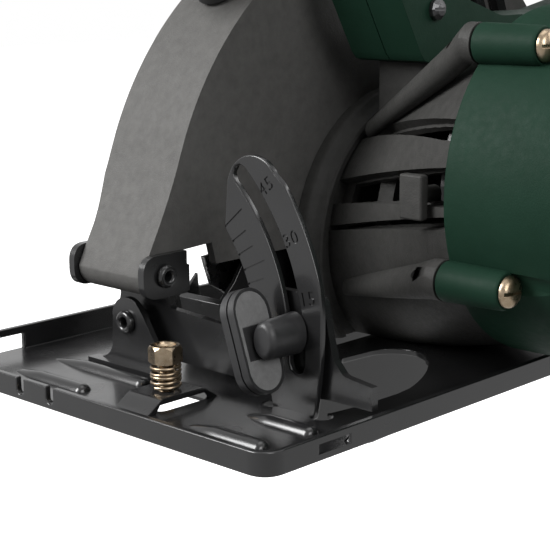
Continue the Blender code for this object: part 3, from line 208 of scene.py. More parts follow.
def ramp(tree, source, stops):
    node = tree.nodes.new("ShaderNodeValToRGB")
    elements = node.color_ramp.elements
    for element, (position, color) in zip(elements, (stops[0], stops[-1])):
        element.position, element.color = position, (*color, 1.0)
    for position, color in stops[1:-1]:
        elements.new(position).color = (*color, 1.0)
    tree.links.new(source, node.inputs["Fac"])
    return node.outputs["Color"]


def spread(tree, source, low, high):
    node = tree.nodes.new("ShaderNodeMapRange")
    node.inputs["From Min"].default_value = NOISE_LOW
    node.inputs["From Max"].default_value = NOISE_HIGH
    node.inputs["To Min"].default_value = low
    node.inputs["To Max"].default_value = high
    tree.links.new(source, node.inputs["Value"])
    return node.outputs["Result"]


def bumps(tree, shader, layers):
    """Chain of bump nodes: each layer is (height source, depth in metres, strength)."""
    previous = None
    for source, depth, strength in layers:
        node = tree.nodes.new("ShaderNodeBump")
        node.inputs["Distance"].default_value = depth
        node.inputs["Strength"].default_value = strength
        tree.links.new(source, node.inputs["Height"])
        if previous is not None:
            tree.links.new(previous, node.inputs["Normal"])
        previous = node.outputs["Normal"]
    tree.links.new(previous, shader.inputs["Normal"])


def finish(name, dark, light, rough, metallic=0.0, grain=(1500.0, 0.00005), wave=(160.0, 0.00008),
           tone_scale=60.0, stretch=(1, 1, 1), specular=0.5, coat=0.0, coat_rough=0.1):
    """A mottled tone, a varied roughness, and two depths of surface relief."""
    mat, tree, shader, coords = node_material(name)
    tone = noise(tree, coords, tone_scale, 4.0, 0.6, stretch)
    fine = noise(tree, coords, grain[0], 3.0, 0.6, stretch)
    broad = noise(tree, coords, wave[0], 2.0, 0.5)
    tree.links.new(ramp(tree, tone, [(NOISE_LOW, dark), (NOISE_HIGH, light)]), shader.inputs["Base Color"])
    tree.links.new(spread(tree, broad, rough[0], rough[1]), shader.inputs["Roughness"])
    shader.inputs["Metallic"].default_value = metallic
    shader.inputs["Specular IOR Level"].default_value = specular
    shader.inputs["Coat Weight"].default_value = coat
    shader.inputs["Coat Roughness"].default_value = coat_rough
    bumps(tree, shader, [(broad, wave[1], 1.0), (fine, grain[1], 1.0)])
    return mat


def make_materials():
    return {
        "black_steel": finish("black_steel", (0.012, 0.012, 0.0125), (0.016, 0.016, 0.0165), (0.2, 0.28),
                              grain=(900.0, 0.000003), wave=(70.0, 0.00003), coat=0.3, coat_rough=0.12),
        "cast_grey": finish("cast_grey", (0.085, 0.083, 0.08), (0.108, 0.106, 0.102), (0.5, 0.62),
                            grain=(2300.0, 0.00012), wave=(700.0, 0.00005), tone_scale=300.0, specular=0.2),
        # a darker copy of cast grey: painted shade on the gear case, which stands in shadow
        "shaded_cast_grey": finish("shaded_cast_grey", (0.036, 0.036, 0.034), (0.05, 0.049, 0.047), (0.5, 0.62),
                            grain=(2300.0, 0.00012), wave=(700.0, 0.00005), tone_scale=300.0, specular=0.2),
        "green_shell": finish("green_shell", (0.0085, 0.027, 0.0165), (0.0105, 0.032, 0.02), (0.5, 0.6),
                              grain=(1900.0, 0.00005), wave=(500.0, 0.00003), tone_scale=90.0, specular=0.08),
        "knob_face": finish("knob_face", (0.17, 0.17, 0.17), (0.22, 0.22, 0.22), (0.6, 0.72), specular=0.3,
                            grain=(1500.0, 0.0001), wave=(600.0, 0.00006), tone_scale=500.0),
        "black_plastic": finish("black_plastic", (0.018, 0.018, 0.019), (0.026, 0.026, 0.027), (0.36, 0.48),
                                grain=(1600.0, 0.00005), wave=(500.0, 0.00004), stretch=(1.0, 1.0, 0.35)),
        "soft_grip": finish("soft_grip", (0.012, 0.012, 0.012), (0.018, 0.018, 0.018), (0.7, 0.85),
                            grain=(1300.0, 0.00012), wave=(300.0, 0.00005)),
        "bright_steel": finish("bright_steel", (0.5, 0.5, 0.5), (0.62, 0.62, 0.61), (0.2, 0.34), 1.0,
                               grain=(1500.0, 0.00001), wave=(300.0, 0.00001), stretch=(1.0, 1.0, 6.0)),
        "yellow_zinc": finish("yellow_zinc", (0.3, 0.225, 0.145), (0.46, 0.37, 0.27), (0.22, 0.4), 1.0,
                              grain=(1500.0, 0.00002), wave=(500.0, 0.00004), tone_scale=380.0),
        "dark_steel": finish("dark_steel", (0.1, 0.1, 0.105), (0.15, 0.15, 0.15), (0.3, 0.5), 0.9,
                             grain=(1500.0, 0.00003), wave=(300.0, 0.00002)),
        "copper": finish("copper", (0.6, 0.27, 0.14), (0.75, 0.38, 0.22), (0.3, 0.45), 1.0,
                         grain=(900.0, 0.00015), wave=(300.0, 0.00005), stretch=(1.0, 0.15, 1.0)),
        "carbon": finish("carbon", (0.02, 0.02, 0.02), (0.035, 0.035, 0.035), (0.55, 0.7),
                         grain=(2500.0, 0.00005)),
    }


# ---------------------------------------------------------------- geometry

def place(back, across, up):
    """Row position in metres of a point given by its stations in millimetres."""
    return Vector((ORIGIN_BACK - back, ORIGIN_ACROSS - across, up)) * MM


def link_new(name, data):
    obj = bpy.data.objects.new(name, data)
    bpy.context.scene.collection.objects.link(obj)
    return obj


def from_bmesh(name, bm):
    bmesh.ops.recalc_face_normals(bm, faces=bm.faces)
    mesh = bpy.data.meshes.new(name)
    bm.to_mesh(mesh)
    bm.free()
    return link_new(name, mesh)


def bake(obj):
    """Replace an object by its evaluated, welded mesh in row coordinates."""
    bpy.context.view_layer.update()
    depsgraph = bpy.context.evaluated_depsgraph_get()
    mesh = bpy.data.meshes.new_from_object(obj.evaluated_get(depsgraph))
    mesh.transform(obj.matrix_world)
    bm = bmesh.new()
    bm.from_mesh(mesh)
    bmesh.ops.remove_doubles(bm, verts=bm.verts, dist=WELD)
    bmesh.ops.dissolve_degenerate(bm, edges=bm.edges, dist=WELD)
    bmesh.ops.recalc_face_normals(bm, faces=bm.faces)
    bm.to_mesh(mesh)
    bm.free()
    name = obj.name
    bpy.data.objects.remove(obj, do_unlink=True)
    return link_new(name, mesh)


def boolean(target, tool, operation):
    mod = target.modifiers.new("cut", "BOOLEAN")
    mod.solver = "EXACT"
    mod.operation = operation
    mod.object = tool
    result = bake(target)
    bpy.data.objects.remove(tool, do_unlink=True)
    return result


def cut(target, *tools):
    for tool in tools:
        target = boolean(target, tool, "DIFFERENCE")
    return target


def join(target, *others):
    for other in others:
        target = boolean(target, other, "UNION")
    return target


def round_rims(obj, width, segments=2):
    """Round the edges that border the two flat sides facing across."""
    bm = bmesh.new()
    bm.from_mesh(obj.data)
    sides = {face for face in bm.faces if abs(face.normal.y) > 0.99}
    rims = [edge for edge in bm.edges if len(sides.intersection(edge.link_faces)) == 1]
    bmesh.ops.bevel(bm, geom=rims, offset=width * MM, segments=segments, profile=0.5, affect="EDGES",
                    clamp_overlap=True)
    bm.to_mesh(obj.data)
    bm.free()
    return bake(obj)


PLANES = {
    # columns: where the outline's first axis, second axis and thickness point
    "transverse": Matrix(((0, 0, 1), (1, 0, 0), (0, 1, 0))),     # (across, up), extruded along back
    "side": Matrix(((1, 0, 0), (0, 0, -1), (0, 1, 0))),          # (back, up), extruded across
    "flat": Matrix(((1, 0, 0), (0, 1, 0), (0, 0, 1))),           # (back, across), extruded up
}


def slab(name, plane, outline, start, end, holes=()):
    """A flat outline, with holes, extruded between two stations across its plane."""
    curve = bpy.data.curves.new(name, "CURVE")
    curve.dimensions = "2D"
    curve.fill_mode = "BOTH"
    curve.extrude = abs(end - start) / 2 * MM
    for loop in (outline, *holes):
        spline = curve.splines.new("POLY")
        spline.points.add(len(loop) - 1)
        for point, (a, b) in zip(spline.points, loop):
            if plane == "transverse":
                a = ORIGIN_ACROSS - a
            elif plane == "side":
                a = ORIGIN_BACK - a
            else:
                a, b = ORIGIN_BACK - a, ORIGIN_ACROSS - b
            point.co = (a * MM, b * MM, 0.0, 1.0)
        spline.use_cyclic_u = True
    obj = link_new(name, curve)
    middle = (start + end) / 2
    offset = {"transverse": Vector((ORIGIN_BACK - middle, 0, 0)),
              "side": Vector((0, ORIGIN_ACROSS - middle, 0)),
              "flat": Vector((0, 0, middle))}[plane]
    obj.matrix_world = Matrix.Translation(offset * MM) @ PLANES[plane].to_4x4()
    return bake(obj)


AXES = {
    "across": Matrix(((1, 0, 0), (0, 0, -1), (0, 1, 0))),        # heights run towards the blade side
    "back": Matrix(((0, 0, -1), (0, 1, 0), (1, 0, 0))),          # heights run rearward
    "up": Matrix(((1, 0, 0), (0, 1, 0), (0, 0, 1))),
}


def turned(name, profile, axis, centre, steps, ring=False):
    """A profile of (radius, height) revolved about an axis through centre."""
    mesh = bpy.data.meshes.new(name)
    points = [(radius * MM, 0.0, height * MM) for radius, height in profile]
    edges = [(i, i + 1) for i in range(len(points) - 1)]
    if ring:
        edges.append((len(points) - 1, 0))
    mesh.from_pydata(points, edges, [])
    obj = link_new(name, mesh)
    screw = obj.modifiers.new("turn", "SCREW")
    screw.axis = "Z"
    screw.angle = math.tau
    screw.steps = steps
    screw.render_steps = steps
    screw.use_merge_vertices = True
    screw.merge_threshold = WELD
    obj.matrix_world = Matrix.Translation(place(*centre)) @ AXES[axis].to_4x4()
    return bake(obj)


def rod(name, axis, centre, radius, start, end, steps):
    """A plain cylinder between two stations along its axis; centre holds the other two stations."""
    profile = [(0.0, start), (radius, start), (radius, end), (0.0, end)]
    return turned(name, profile, axis, centre, steps)


def block(name, back, across, up):
    """A box between pairs of stations."""
    bm = bmesh.new()
    bmesh.ops.create_cube(bm, size=1.0)
    low = place(back[1], across[1], up[0])
    high = place(back[0], across[0], up[1])
    size = high - low
    for vert in bm.verts:
        vert.co = Vector((vert.co.x * size.x, vert.co.y * size.y, vert.co.z * size.z))
        vert.co += (low + high) / 2
    return from_bmesh(name, bm)


def loft(name, rings):
    """A closed skin through rings of row points in metres, with flat ends."""
    bm = bmesh.new()
    rows = [[bm.verts.new(point) for point in ring] for ring in rings]
    count = len(rows[0])
    for low, high in zip(rows, rows[1:]):
        for i in range(count):
            j = (i + 1) % count
            bm.faces.new((low[i], low[j], high[j], high[i]))
    bm.faces.new(rows[0])
    bm.faces.new(rows[-1])
    return from_bmesh(name, bm)


def polar(centre, radius, degrees):
    """A point of an outline at an angle from its first axis."""
    angle = math.radians(degrees)
    return (centre[0] + radius * math.cos(angle), centre[1] + radius * math.sin(angle))


def arc(centre, radius, start, end, step=6.0):
    count = max(2, int(round(abs(end - start) / step)) + 1)
    return [polar(centre, radius, start + (end - start) * i / (count - 1)) for i in range(count)]


def arc_slot(centre, radius, half_width, start, end, step=5.0):
    """Outline of a curved slot with round ends, between two centre angles."""
    outer = arc(centre, radius + half_width, start, end, step)
    inner = arc(centre, radius - half_width, end, start, step)
    sign = 1 if end > start else -1
    far = arc(polar(centre, radius, end), half_width, end, end + 180 * sign, 45)[1:-1]
    near = arc(polar(centre, radius, start), half_width, start + 180 * sign, start + 360 * sign, 45)[1:-1]
    return outer + far + inner + near


def rounded(corners, radius, step=30.0):
    """A polygon with rounded corners, of one size or of one size each."""
    result = []
    count = len(corners)
    for i, corner in enumerate(corners):
        here = Vector(corner)
        before = Vector(corners[i - 1]) - here
        after = Vector(corners[(i + 1) % count]) - here
        size = radius[i] if isinstance(radius, (list, tuple)) else radius
        if size <= 0:
            result.append(tuple(here))
            continue
        half = before.angle(after) / 2
        reach = min(size / math.tan(half), before.length * 0.48, after.length * 0.48)
        first = here + before.normalized() * reach
        last = here + after.normalized() * reach
        steps = max(2, int(math.degrees(math.pi - 2 * half) / step) + 1)
        for k in range(steps + 1):
            t = k / steps
            point = first.lerp(here, t).lerp(here.lerp(last, t), t)
            result.append(tuple(point))
    return result


def bend(start, first, second, end, count=7):
    """Points of a cubic bend between two points, without its ends."""
    points = [Vector(p) for p in (start, first, second, end)]
    result = []
    for i in range(1, count):
        t = i / count
        weights = ((1 - t) ** 3, 3 * t * (1 - t) ** 2, 3 * t * t * (1 - t), t ** 3)
        mixed = sum((point * weight for point, weight in zip(points, weights)), Vector((0, 0)))
        result.append(tuple(mixed))
    return result


def rectangle(low, high):
    return [(low[0], low[1]), (high[0], low[1]), (high[0], high[1]), (low[0], high[1])]


# ---------------------------------------------------------------- dressing

SLOTS = {part["node"]: part["material_slot"] for part in frame["record"]["subparts"]}
BODIES = {node: body for body, nodes in frame["record"]["behaviour"]["bodies"].items() for node in nodes}
MATERIALS = make_materials()
# nodes whose look differs a little from the rest of their slot: the gear case, its lock button and its
# bearing plate take a darker copy of cast grey, which is painted shade
LOOKS = {"gear_case": "shaded_cast_grey", "spindle_lock_button": "shaded_cast_grey", "bearing_plate": "shaded_cast_grey"}


def ride_on(piece, node, look=None):
    """Give a piece the body of the node it belongs with, and the material of that node's slot or its own
    look.
    """
    slot = SLOTS[node]
    piece.data.materials.clear()
    piece.data.materials.append(MATERIALS[look or slot])
    for face in piece.data.polygons:
        face.material_index = 0
    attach(piece, BODIES[node])


def soften(piece, width, segments=2, angle=32.0):
    """Rounded edges, unless the width is zero, and smooth shading that leaves the flats flat."""
    if width:
        edge = piece.modifiers.new("edges", "BEVEL")
        edge.width = width * MM
        edge.segments = segments
        edge.limit_method = "ANGLE"
        edge.angle_limit = math.radians(angle)
    piece.data.shade_smooth()
    piece.data.set_sharp_from_angle(angle=math.radians(SHARP_ANGLE))
    weighted = piece.modifiers.new("normals", "WEIGHTED_NORMAL")
    weighted.keep_sharp = True


def stand_for(piece, node, width=0.0):
    """Let a finished mesh stand for a CAD node."""
    piece.name = node + "_fine"
    soften(piece, width)
    ride_on(piece, node, LOOKS.get(node))
    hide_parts(node)


def refined(node, width):
    """A copy of a CAD node with merged flats and rounded edges."""
    bm = bmesh.new()
    bm.from_mesh(frame["nodes"][node].data)
    bmesh.ops.remove_doubles(bm, verts=bm.verts, dist=WELD)
    bmesh.ops.dissolve_limit(bm, angle_limit=math.radians(FLAT_ANGLE), verts=bm.verts, edges=bm.edges)
    stand_for(from_bmesh(node + "_fine", bm), node, width)


REFINED = {
    "rear_pivot_ear": 0.35, "rear_bevel_rivet": 0.25, "rear_tilt_bracket": 0.35, "depth_guide_arm": 0.3,
    "depth_pivot_pin": 0.25, "bevel_clamp_bolt": 0.2, "motor_end_cap": 0.4, "spindle_lock_button": 0.3,
    "lower_guard": 0.2, "lower_guard_lever": 0.8, "handle_shell_left": 2.2, "handle_shell_right": 2.2,
    "trigger": 0.5, "depth_lock_lever": 0.5, "saw_blade": 0.1, "blade_bolt": 0.3, "outer_flange": 0.2,
}


# ---------------------------------------------------------------- base

SCALE_TICKS = {40.5: 9.5, 35.1: 7.0, 30.3: 7.0, 25.3: 9.5, 20.8: 7.0, 15.9: 7.0}     # degrees: length
SCALE_NUMERALS = (("45", 74.2, 39.9), ("30", 74.4, 27.0), ("15", 74.6, 13.7))
NUMERAL_SIZE = 5.6
NUMERAL_SPACING = 1.12
ENGRAVING = 0.35
TICK_HALF = 0.28
RIM_STEP = 6.5                   # width of the strip that carries the higher rim
RELIEF = 3.2
RELIEF_ACROSS = (21.0, 39.6)
NOTCH = 1.6
NOTCH_UP = 3.2
NOTCH_ACROSS = (101.9, 87.8)
LEFT_SLOT_TOP = 4.6
RIGHT_SLOT_TOP = 7.2


def bevel_point(radius, degrees):
    return polar(BEVEL_CENTRE, radius, 180.0 - degrees)


def quadrant_outline():
    inner = [bevel_point(SCALE_RADIUS, a) for a in range(2, 40, 2)]
    top = [(57.2, 51.9), *arc(QUADRANT_TOP, QUADRANT_TOP_RADIUS, 8, 146, 6)]
    outer = [bevel_point(QUADRANT_RADIUS, a) for a in range(38, 15, -2)]
    drop = [(19.4, 33.0), (19.5, 26.0), (19.7, 20.0), (20.4, 13.0), (21.3, 7.0), (22.5, 1.0)]
    foot = [(38.3, 1.0), (39.6, 6.0), (42.5, 12.0)]
    return foot + inner + top + outer + drop


def quadrant_slot():
    return arc_slot(BEVEL_CENTRE, SLOT_RADIUS, SLOT_HALF_WIDTH,
                    180.0 + 1.4, 180.0 - KNOB_ANGLE - BEVEL_RANGE - 0.8, FINE_STEP)


def bead(back, across_from, across_to):
    """A pressed bead with a rounded nose and a long taper."""
    length = abs(across_to - across_from)
    profile = [(0.0, 0.0), (1.2, 0.1), (2.1, 0.5), (2.7, 1.2), (3.0, 2.2), (3.0, length * 0.62),
               (2.5, length * 0.76), (1.7, length * 0.9), (0.8, length), (0.0, length)]
    return turned("bead", profile, "across", (back, across_from, SHEET - 0.9), steps=SMALL_TURN)


def base_shell():
    """The pressed tray with its rims, openings and slots."""
    edge = rounded(rectangle((0, 0), (BASE_LENGTH, BASE_WIDTH)), 7.0, 8.0)
    plate = slab("base", "flat", edge, 0.0, RIGHT_RIM_HEIGHT)
    pocket = rounded(rectangle((SHEET, SHEET), (BASE_LENGTH - SHEET, BASE_WIDTH - SHEET)), 5.0, 8.0)
    plate = cut(plate, slab("pocket", "flat", pocket, SHEET, TALL))
    right = BASE_WIDTH - RIM_STEP
    low_rim = [(-CLEAR, RIM_HEIGHT), (8, RIM_HEIGHT), (16, TALL), (-CLEAR, TALL)]
    rear_rim = [(BASE_LENGTH - 16, TALL), (BASE_LENGTH - 8, RIM_HEIGHT), (BASE_LENGTH + CLEAR, RIM_HEIGHT),
                (BASE_LENGTH + CLEAR, TALL)]
    plate = cut(plate,
                block("rim_level", (-CLEAR, BASE_LENGTH + CLEAR), (-CLEAR, right), (RIM_HEIGHT, TALL)),
                slab("front_slope", "side", low_rim, right, BASE_WIDTH + CLEAR),
                slab("rear_slope", "side", rear_rim, right, BASE_WIDTH + CLEAR))
    well = rounded(rectangle((66.5, 69.5), (233.5, 111.5)), 6.0, 8.0)
    fold = QUADRANT_BACK + SHEET
    flat = [(fold + max(up - SHEET, -3.0), across) for across, up in quadrant_outline()]
    under_bridge = rounded(rectangle((16, 57.5), (35, 72)), 3.0, 8.0)
    plate = cut(plate,
                slab("well", "flat", well, BELOW, ABOVE),
                slab("flat_quadrant", "flat", flat, BELOW, ABOVE),
                *[rod("relief", "up", (fold - 0.3, across, 0), RELIEF, BELOW, ABOVE, steps=HOLE_TURN)
                  for across in RELIEF_ACROSS],
                slab("under_bridge", "flat", under_bridge, BELOW, ABOVE))
    for across in NOTCH_ACROSS:
        near, far = across - NOTCH, across + NOTCH
        notch = [(near, TALL), (near, NOTCH_UP), *arc((across, NOTCH_UP), NOTCH, 180, 360, 15)[1:-1],
                 (far, NOTCH_UP), (far, TALL)]
        plate = cut(plate, slab("notch", "transverse", notch, -CLEAR, SHEET + 1.5))
    inside = SHEET + 1.0
    return cut(plate,
               block("left_slot", FENCE_SLOT_BACK, (-CLEAR, inside), (SHEET, LEFT_SLOT_TOP)),
               block("right_slot", FENCE_SLOT_BACK, (BASE_WIDTH - inside, BASE_WIDTH + CLEAR),
                     (SHEET, RIGHT_SLOT_TOP)))


def bridge():
    """The lanced strip that carries the fence bolt."""
    profile = [(9.5, 1.0), (9.5, 2.2), *bend((9.5, 2.2), (12.6, 3.0), (14.5, 6.2), (18.0, 6.2)),
               *bend((30.0, 6.2), (33.5, 6.2), (35.4, 3.0), (38.5, 2.2)),
               (38.5, 1.0), (35.0, 1.0), (32.6, 4.2), (15.4, 4.2), (13.0, 1.0)]
    strip = slab("bridge", "side", profile, *BRIDGE_ACROSS)
    return cut(strip, rod("bolt_hole", "up", (*FENCE_BOLT, 0), BOLT_HOLE, BELOW, ABOVE, steps=HOLE_TURN))


def engraved_numeral(text, radius, degrees):
    """A numeral cutter that stands on the quadrant's front face, its base line along the radius."""
    curve = bpy.data.curves.new("numeral", "FONT")
    curve.body = text
    curve.size = NUMERAL_SIZE * MM
    curve.align_x = "CENTER"
    curve.align_y = "CENTER"
    curve.space_character = NUMERAL_SPACING
    curve.extrude = ENGRAVING * MM
    curve.resolution_u = 3
    obj = link_new("numeral", curve)
    angle = math.radians(degrees)
    outward = Vector((0, math.cos(angle), math.sin(angle)))
    upright = Vector((0, -math.sin(angle), math.cos(angle)))
    across, up = bevel_point(radius, degrees)
    turn = Matrix((outward, upright, Vector((1, 0, 0)))).transposed().to_4x4()
    obj.matrix_world = Matrix.Translation(place(QUADRANT_BACK, across, up)) @ turn
    return bake(obj)


def scale_tick(degrees, length):
    """A radial groove cutter in the quadrant's front face."""
    start = place(QUADRANT_BACK, *bevel_point(SCALE_RADIUS + 0.4, degrees))
    end = place(QUADRANT_BACK, *bevel_point(SCALE_RADIUS + length, degrees))
    along = (end - start).normalized()
    side = Vector((1, 0, 0)).cross(along) * TICK_HALF * MM
    depth = Vector((ENGRAVING * MM, 0, 0))
    bm = bmesh.new()
    corners = [start - side, start + side, end + side, end - side]
    low = [bm.verts.new(corner - depth) for corner in corners]
    high = [bm.verts.new(corner + depth) for corner in corners]
    bm.faces.new(low)
    bm.faces.new(high)
    for i in range(len(corners)):
        j = (i + 1) % len(corners)
        bm.faces.new((low[i], low[j], high[j], high[i]))
    return from_bmesh("tick", bm)


def merged(piece):
    """Weld near points and merge the flats, so that every edge can be rounded."""
    bm = bmesh.new()
    bm.from_mesh(piece.data)
    bmesh.ops.remove_doubles(bm, verts=bm.verts, dist=WELD_NEAR * MM)
    bmesh.ops.dissolve_limit(bm, angle_limit=math.radians(MERGE_ANGLE), verts=bm.verts, edges=bm.edges)
    bm.to_mesh(piece.data)
    bm.free()
    return piece


def rounded_off(piece, width, segments=2, angle=32.0):
    """The piece with its edges rounded for good, ready for more cuts."""
    soften(merged(piece), width, segments, angle)
    piece.modifiers["edges"].use_clamp_overlap = False
    piece.modifiers.remove(piece.modifiers["normals"])
    return bake(piece)


def base_plate():
    plate = rounded_off(base_shell(), 0.42, 3, 30.0)
    quadrant = slab("quadrant", "transverse", quadrant_outline(), QUADRANT_BACK, QUADRANT_BACK + SHEET,
                    holes=(quadrant_slot(),))
    plate = join(plate, rounded_off(quadrant, 0.45, 3), rounded_off(bridge(), 0.4))
    beads = [bead(14.5, 88.5, 124.0), bead(31.2, 80.5, 126.0), bead(13.5, 13.0, 43.0), bead(31.0, 11.5, 38.5)]
    beads += [bead(back, 12.0, 52.0) for back in (180.0, 215.0, 268.0)]
    sole = block("sole", (-10, BASE_LENGTH + 10), (-10, BASE_WIDTH + 10), (-20, 0.4))
    plate = join(plate, cut(join(*beads), sole))
    plate = cut(plate, *[scale_tick(*tick) for tick in SCALE_TICKS.items()],
                *[engraved_numeral(*numeral) for numeral in SCALE_NUMERALS])
    stand_for(plate, "base_plate")


def ear_outline(low):
    return [(113.0, low), (112.0, low + 1.6),
            *bend((112.0, low + 1.6), (107.0, 4.5), (104.8, 6.5), (104.4, 10.0)),
            (104.4, 10.0), (103.9, 18.5), *arc((97.0, 18.2), 7.2, 10, 140, 6),
            *bend((91.5, 22.8), (87.0, 18.0), (82.5, 8.0), (76.0, low + 1.6)), (76.0, low + 1.6), (75.0, low)]


def front_pivot_ear():
    low = SHEET + GAP
    plate = slab("ear", "transverse", ear_outline(low), *EAR_BACK)
    plate = join(plate, block("foot", (34.8, EAR_BACK[1] - 0.6), (75.0, 113.0), (low, low + 2.0)))
    plate = cut(plate, rod("pin_hole", "back", (0, *BEVEL_CENTRE), PIVOT_HOLE, 35.0, 43.0, steps=SMALL_TURN))
    stand_for(plate, "front_pivot_ear", 0.5)


def front_bevel_rivet():
    """Hollow rivet with a rolled head."""
    head = EAR_BACK[0] - 0.8
    tail = FRONT_TILT_BACK[1] + 0.4
    rolled = [(RIVET_SHANK + 1.05 * math.sin(math.radians(a)), -0.1 - math.cos(math.radians(a)))
              for a in range(-70, 91, 16)]
    grip = tail - head
    profile = [(RIVET_BORE, 0.3), *rolled, (RIVET_HEAD, 0.5), (RIVET_SHANK, 0.5), (RIVET_SHANK, grip),
               (RIVET_HEAD, grip), (RIVET_HEAD, grip + 0.9), (RIVET_BORE, grip + 0.9)]
    profile = [(radius, head + height) for radius, height in profile]
    stand_for(turned("rivet", profile, "back", (0, *BEVEL_CENTRE), steps=48, ring=True), "front_bevel_rivet")


def fence_bolt():
    """Chamfered hexagon head with a dished top, and a threaded shank."""
    hexagon = [polar(FENCE_BOLT, HEX_RADIUS, 60 * i + HEX_TURN) for i in range(6)]
    head = slab("bolt", "flat", hexagon, *FENCE_HEAD)
    crown = [(0, 10), (6.0, 10), (6.0, 13.4), (4.5, 14.0), (5.2, 14.5), (5.2, 17.9), (4.2, 19.3), (0, 19.3)]
    head = boolean(head, turned("crown", crown, "up", (*FENCE_BOLT, 0), steps=GRIP_TURN), "INTERSECT")
    dish = [(0, 18.0), (2.4, 18.1), (3.1, 18.6), (3.6, 20.5), (0, 20.5)]
    head = cut(head, turned("dish", dish, "up", (*FENCE_BOLT, 0), steps=BORE_TURN))
    thread = [(0, 2.4)]
    for i in range(THREAD_TURNS):
        rise = THREAD_PITCH * i
        thread += [(2.05, 2.5 + rise), (2.38, 2.9 + rise)]
    thread += [(2.0, 14.3), (0, 14.3)]
    head = join(head, turned("thread", thread, "up", (*FENCE_BOLT, 0), steps=HOLE_TURN))
    stand_for(head, "fence_clamp_bolt", 0.12)


COIL_POINTS = 28                 # to a turn
SPRING_CROWD = 0.06              # how far the turns crowd together


def spring(name, node, axis, centre, radius, wire, start, end, turns):
    """A round wire coil whose ends close up against its seats."""
    curve = bpy.data.curves.new(name, "CURVE")
    curve.dimensions = "3D"
    curve.bevel_depth = wire / 2 * MM
    curve.bevel_resolution = 4
    curve.use_fill_caps = True
    count = int(turns * COIL_POINTS) + 1
    spline = curve.splines.new("POLY")
    spline.points.add(count - 1)
    for i, point in enumerate(spline.points):
        angle = math.tau * i / COIL_POINTS
        t = i / (count - 1)
        crowd = SPRING_CROWD * math.sin(2 * math.pi * t * 2) * (1 - t) * t * 4
        height = start + (end - start) * (t - crowd)
        point.co = (radius * math.cos(angle) * MM, radius * math.sin(angle) * MM, height * MM, 1.0)
    obj = link_new(name, curve)
    obj.matrix_world = Matrix.Translation(place(*centre)) @ AXES[axis].to_4x4()
    stand_for(bake(obj), node)


# ---------------------------------------------------------------- tilting bracket

def front_tilt_bracket():
    left = rounded([(3.7, 13.4), (14.0, 14.6), (17.6, 18.5), (19.4, 25.0), (21.6, 36.0), (41.0, 36.0),
                    (46.0, 21.0), (57.0, 21.0)], [0.0, 3.0, 3.0, 6.0, 3.0, 3.0, 5.0, 0.0], 12.0)
    outline = [(3.7, 6.7), *left, (84.4, 22.6), (85.0, 23.2), (85.0, 27.6), (84.0, 28.6), (78.5, 28.9),
               (78.5, 37.0), (113.1, 37.2), (113.1, 29.2),
               *bend((113.1, 29.2), (108.0, 28.0), (106.0, 23.0), (112.0, 18.5)),
               *arc(BEVEL_CENTRE, 15.0, 0, -47, 4), (105.0, TILT_LOW), (24.0, TILT_LOW), (20.0, 6.7)]
    hub = bevel_point(SLOT_RADIUS, KNOB_ANGLE)
    plate = slab("tilt", "transverse", outline, *FRONT_TILT_BACK,
                 holes=(arc(BEVEL_CENTRE, PIVOT_HOLE, 0, 350, 10), arc(hub, KNOB_THREAD, 0, 350, 10)))
    ear = rounded([(29.0, 28.4), (29.0, 41.5), (46.5, 41.5), (46.5, 28.4)], [5.5, 5.5, 0.0, 0.0], 8.0)
    for across in EAR_ACROSS:
        plate = join(plate, slab("ear", "side", ear, *across))
    plate = cut(plate, rod("pin_hole", "across", (DEPTH_BACK, 0, DEPTH_UP), PIN_HOLE, 70, 120,
                           steps=SMALL_TURN))
    stand_for(plate, "front_tilt_bracket", 0.6)


def stadium(inset):
    """Outline of the thumb bar, drawn in on every side by inset."""
    back, up = BAR_CENTRE
    half = (BAR_LENGTH - BAR_WIDTH) / 2
    radius = BAR_WIDTH / 2 - inset
    return arc((back, up + half), radius, 0, 180, 6) + arc((back, up - half), radius, 180, 360, 6)


def bevel_lock_knob():
    """Oval boss with a chamfered nose, and a grooved thumb bar behind it."""
    hub = bevel_point(SLOT_RADIUS, KNOB_ANGLE)
    front, rear = KNOB_FRONT, QUADRANT_BACK - 0.4
    boss = [(0, front), (3.6, front), (4.3, front + 0.15), (4.9, front + 0.6), (5.4, front + 1.3),
            (5.6, front + 2.2), (6.1, rear), (0, rear)]
    knob = turned("knob", boss, "back", (0, *hub), steps=FINE_TURN)
    middle = place(0, *hub)
    knob.data.transform(Matrix.Translation(middle) @ Matrix.Diagonal((1.0, BOSS_OVAL, 1.0, 1.0))
                        @ Matrix.Translation(-middle))
    near_face = hub[0] + 3.9
    bar = round_rims(slab("bar", "side", stadium(0.0), near_face, near_face + BAR_THICK), 0.5, 3)
    # a fine parting groove round the edge, and a shallow bed for the matt face
    groove = slab("groove", "side", stadium(-1.0), near_face + 2.4, near_face + 3.0, holes=(stadium(0.45),))
    bar = cut(bar, groove, slab("bed", "side", stadium(0.85), near_face - 1.0, near_face + 0.35))
    face = slab("knob_face", "side", stadium(0.95), near_face + 0.05, near_face + 0.3)
    pivot = place(0, near_face, BAR_CENTRE[1])
    lean = Matrix.Rotation(math.radians(BAR_LEAN), 4, "X")
    lean = Matrix.Translation(pivot) @ lean @ Matrix.Translation(-pivot)
    bar.data.transform(lean)
    face.data.transform(lean)
    face = cut(face, rod("boss_room", "back", (0, *hub), BOSS_ROOM, front - 2, rear + CLEAR, steps=FINE_TURN))
    soften(face, 0.08)
    ride_on(face, "bevel_lock_knob", "knob_face")
    knob = join(knob, bar)
    knob = cut(knob, rod("thread", "back", (0, *hub), KNOB_THREAD, 33.0, rear + CLEAR, steps=HOLE_TURN))
    stand_for(knob, "bevel_lock_knob", 0.12)


# ---------------------------------------------------------------- head

def guard_outline(radius, floor, front):
    start = math.degrees(math.asin((floor - SPINDLE_CENTRE[1]) / radius))
    return arc(SPINDLE_CENTRE, radius, start, SHOULDER_NEAR, 1.5) + front


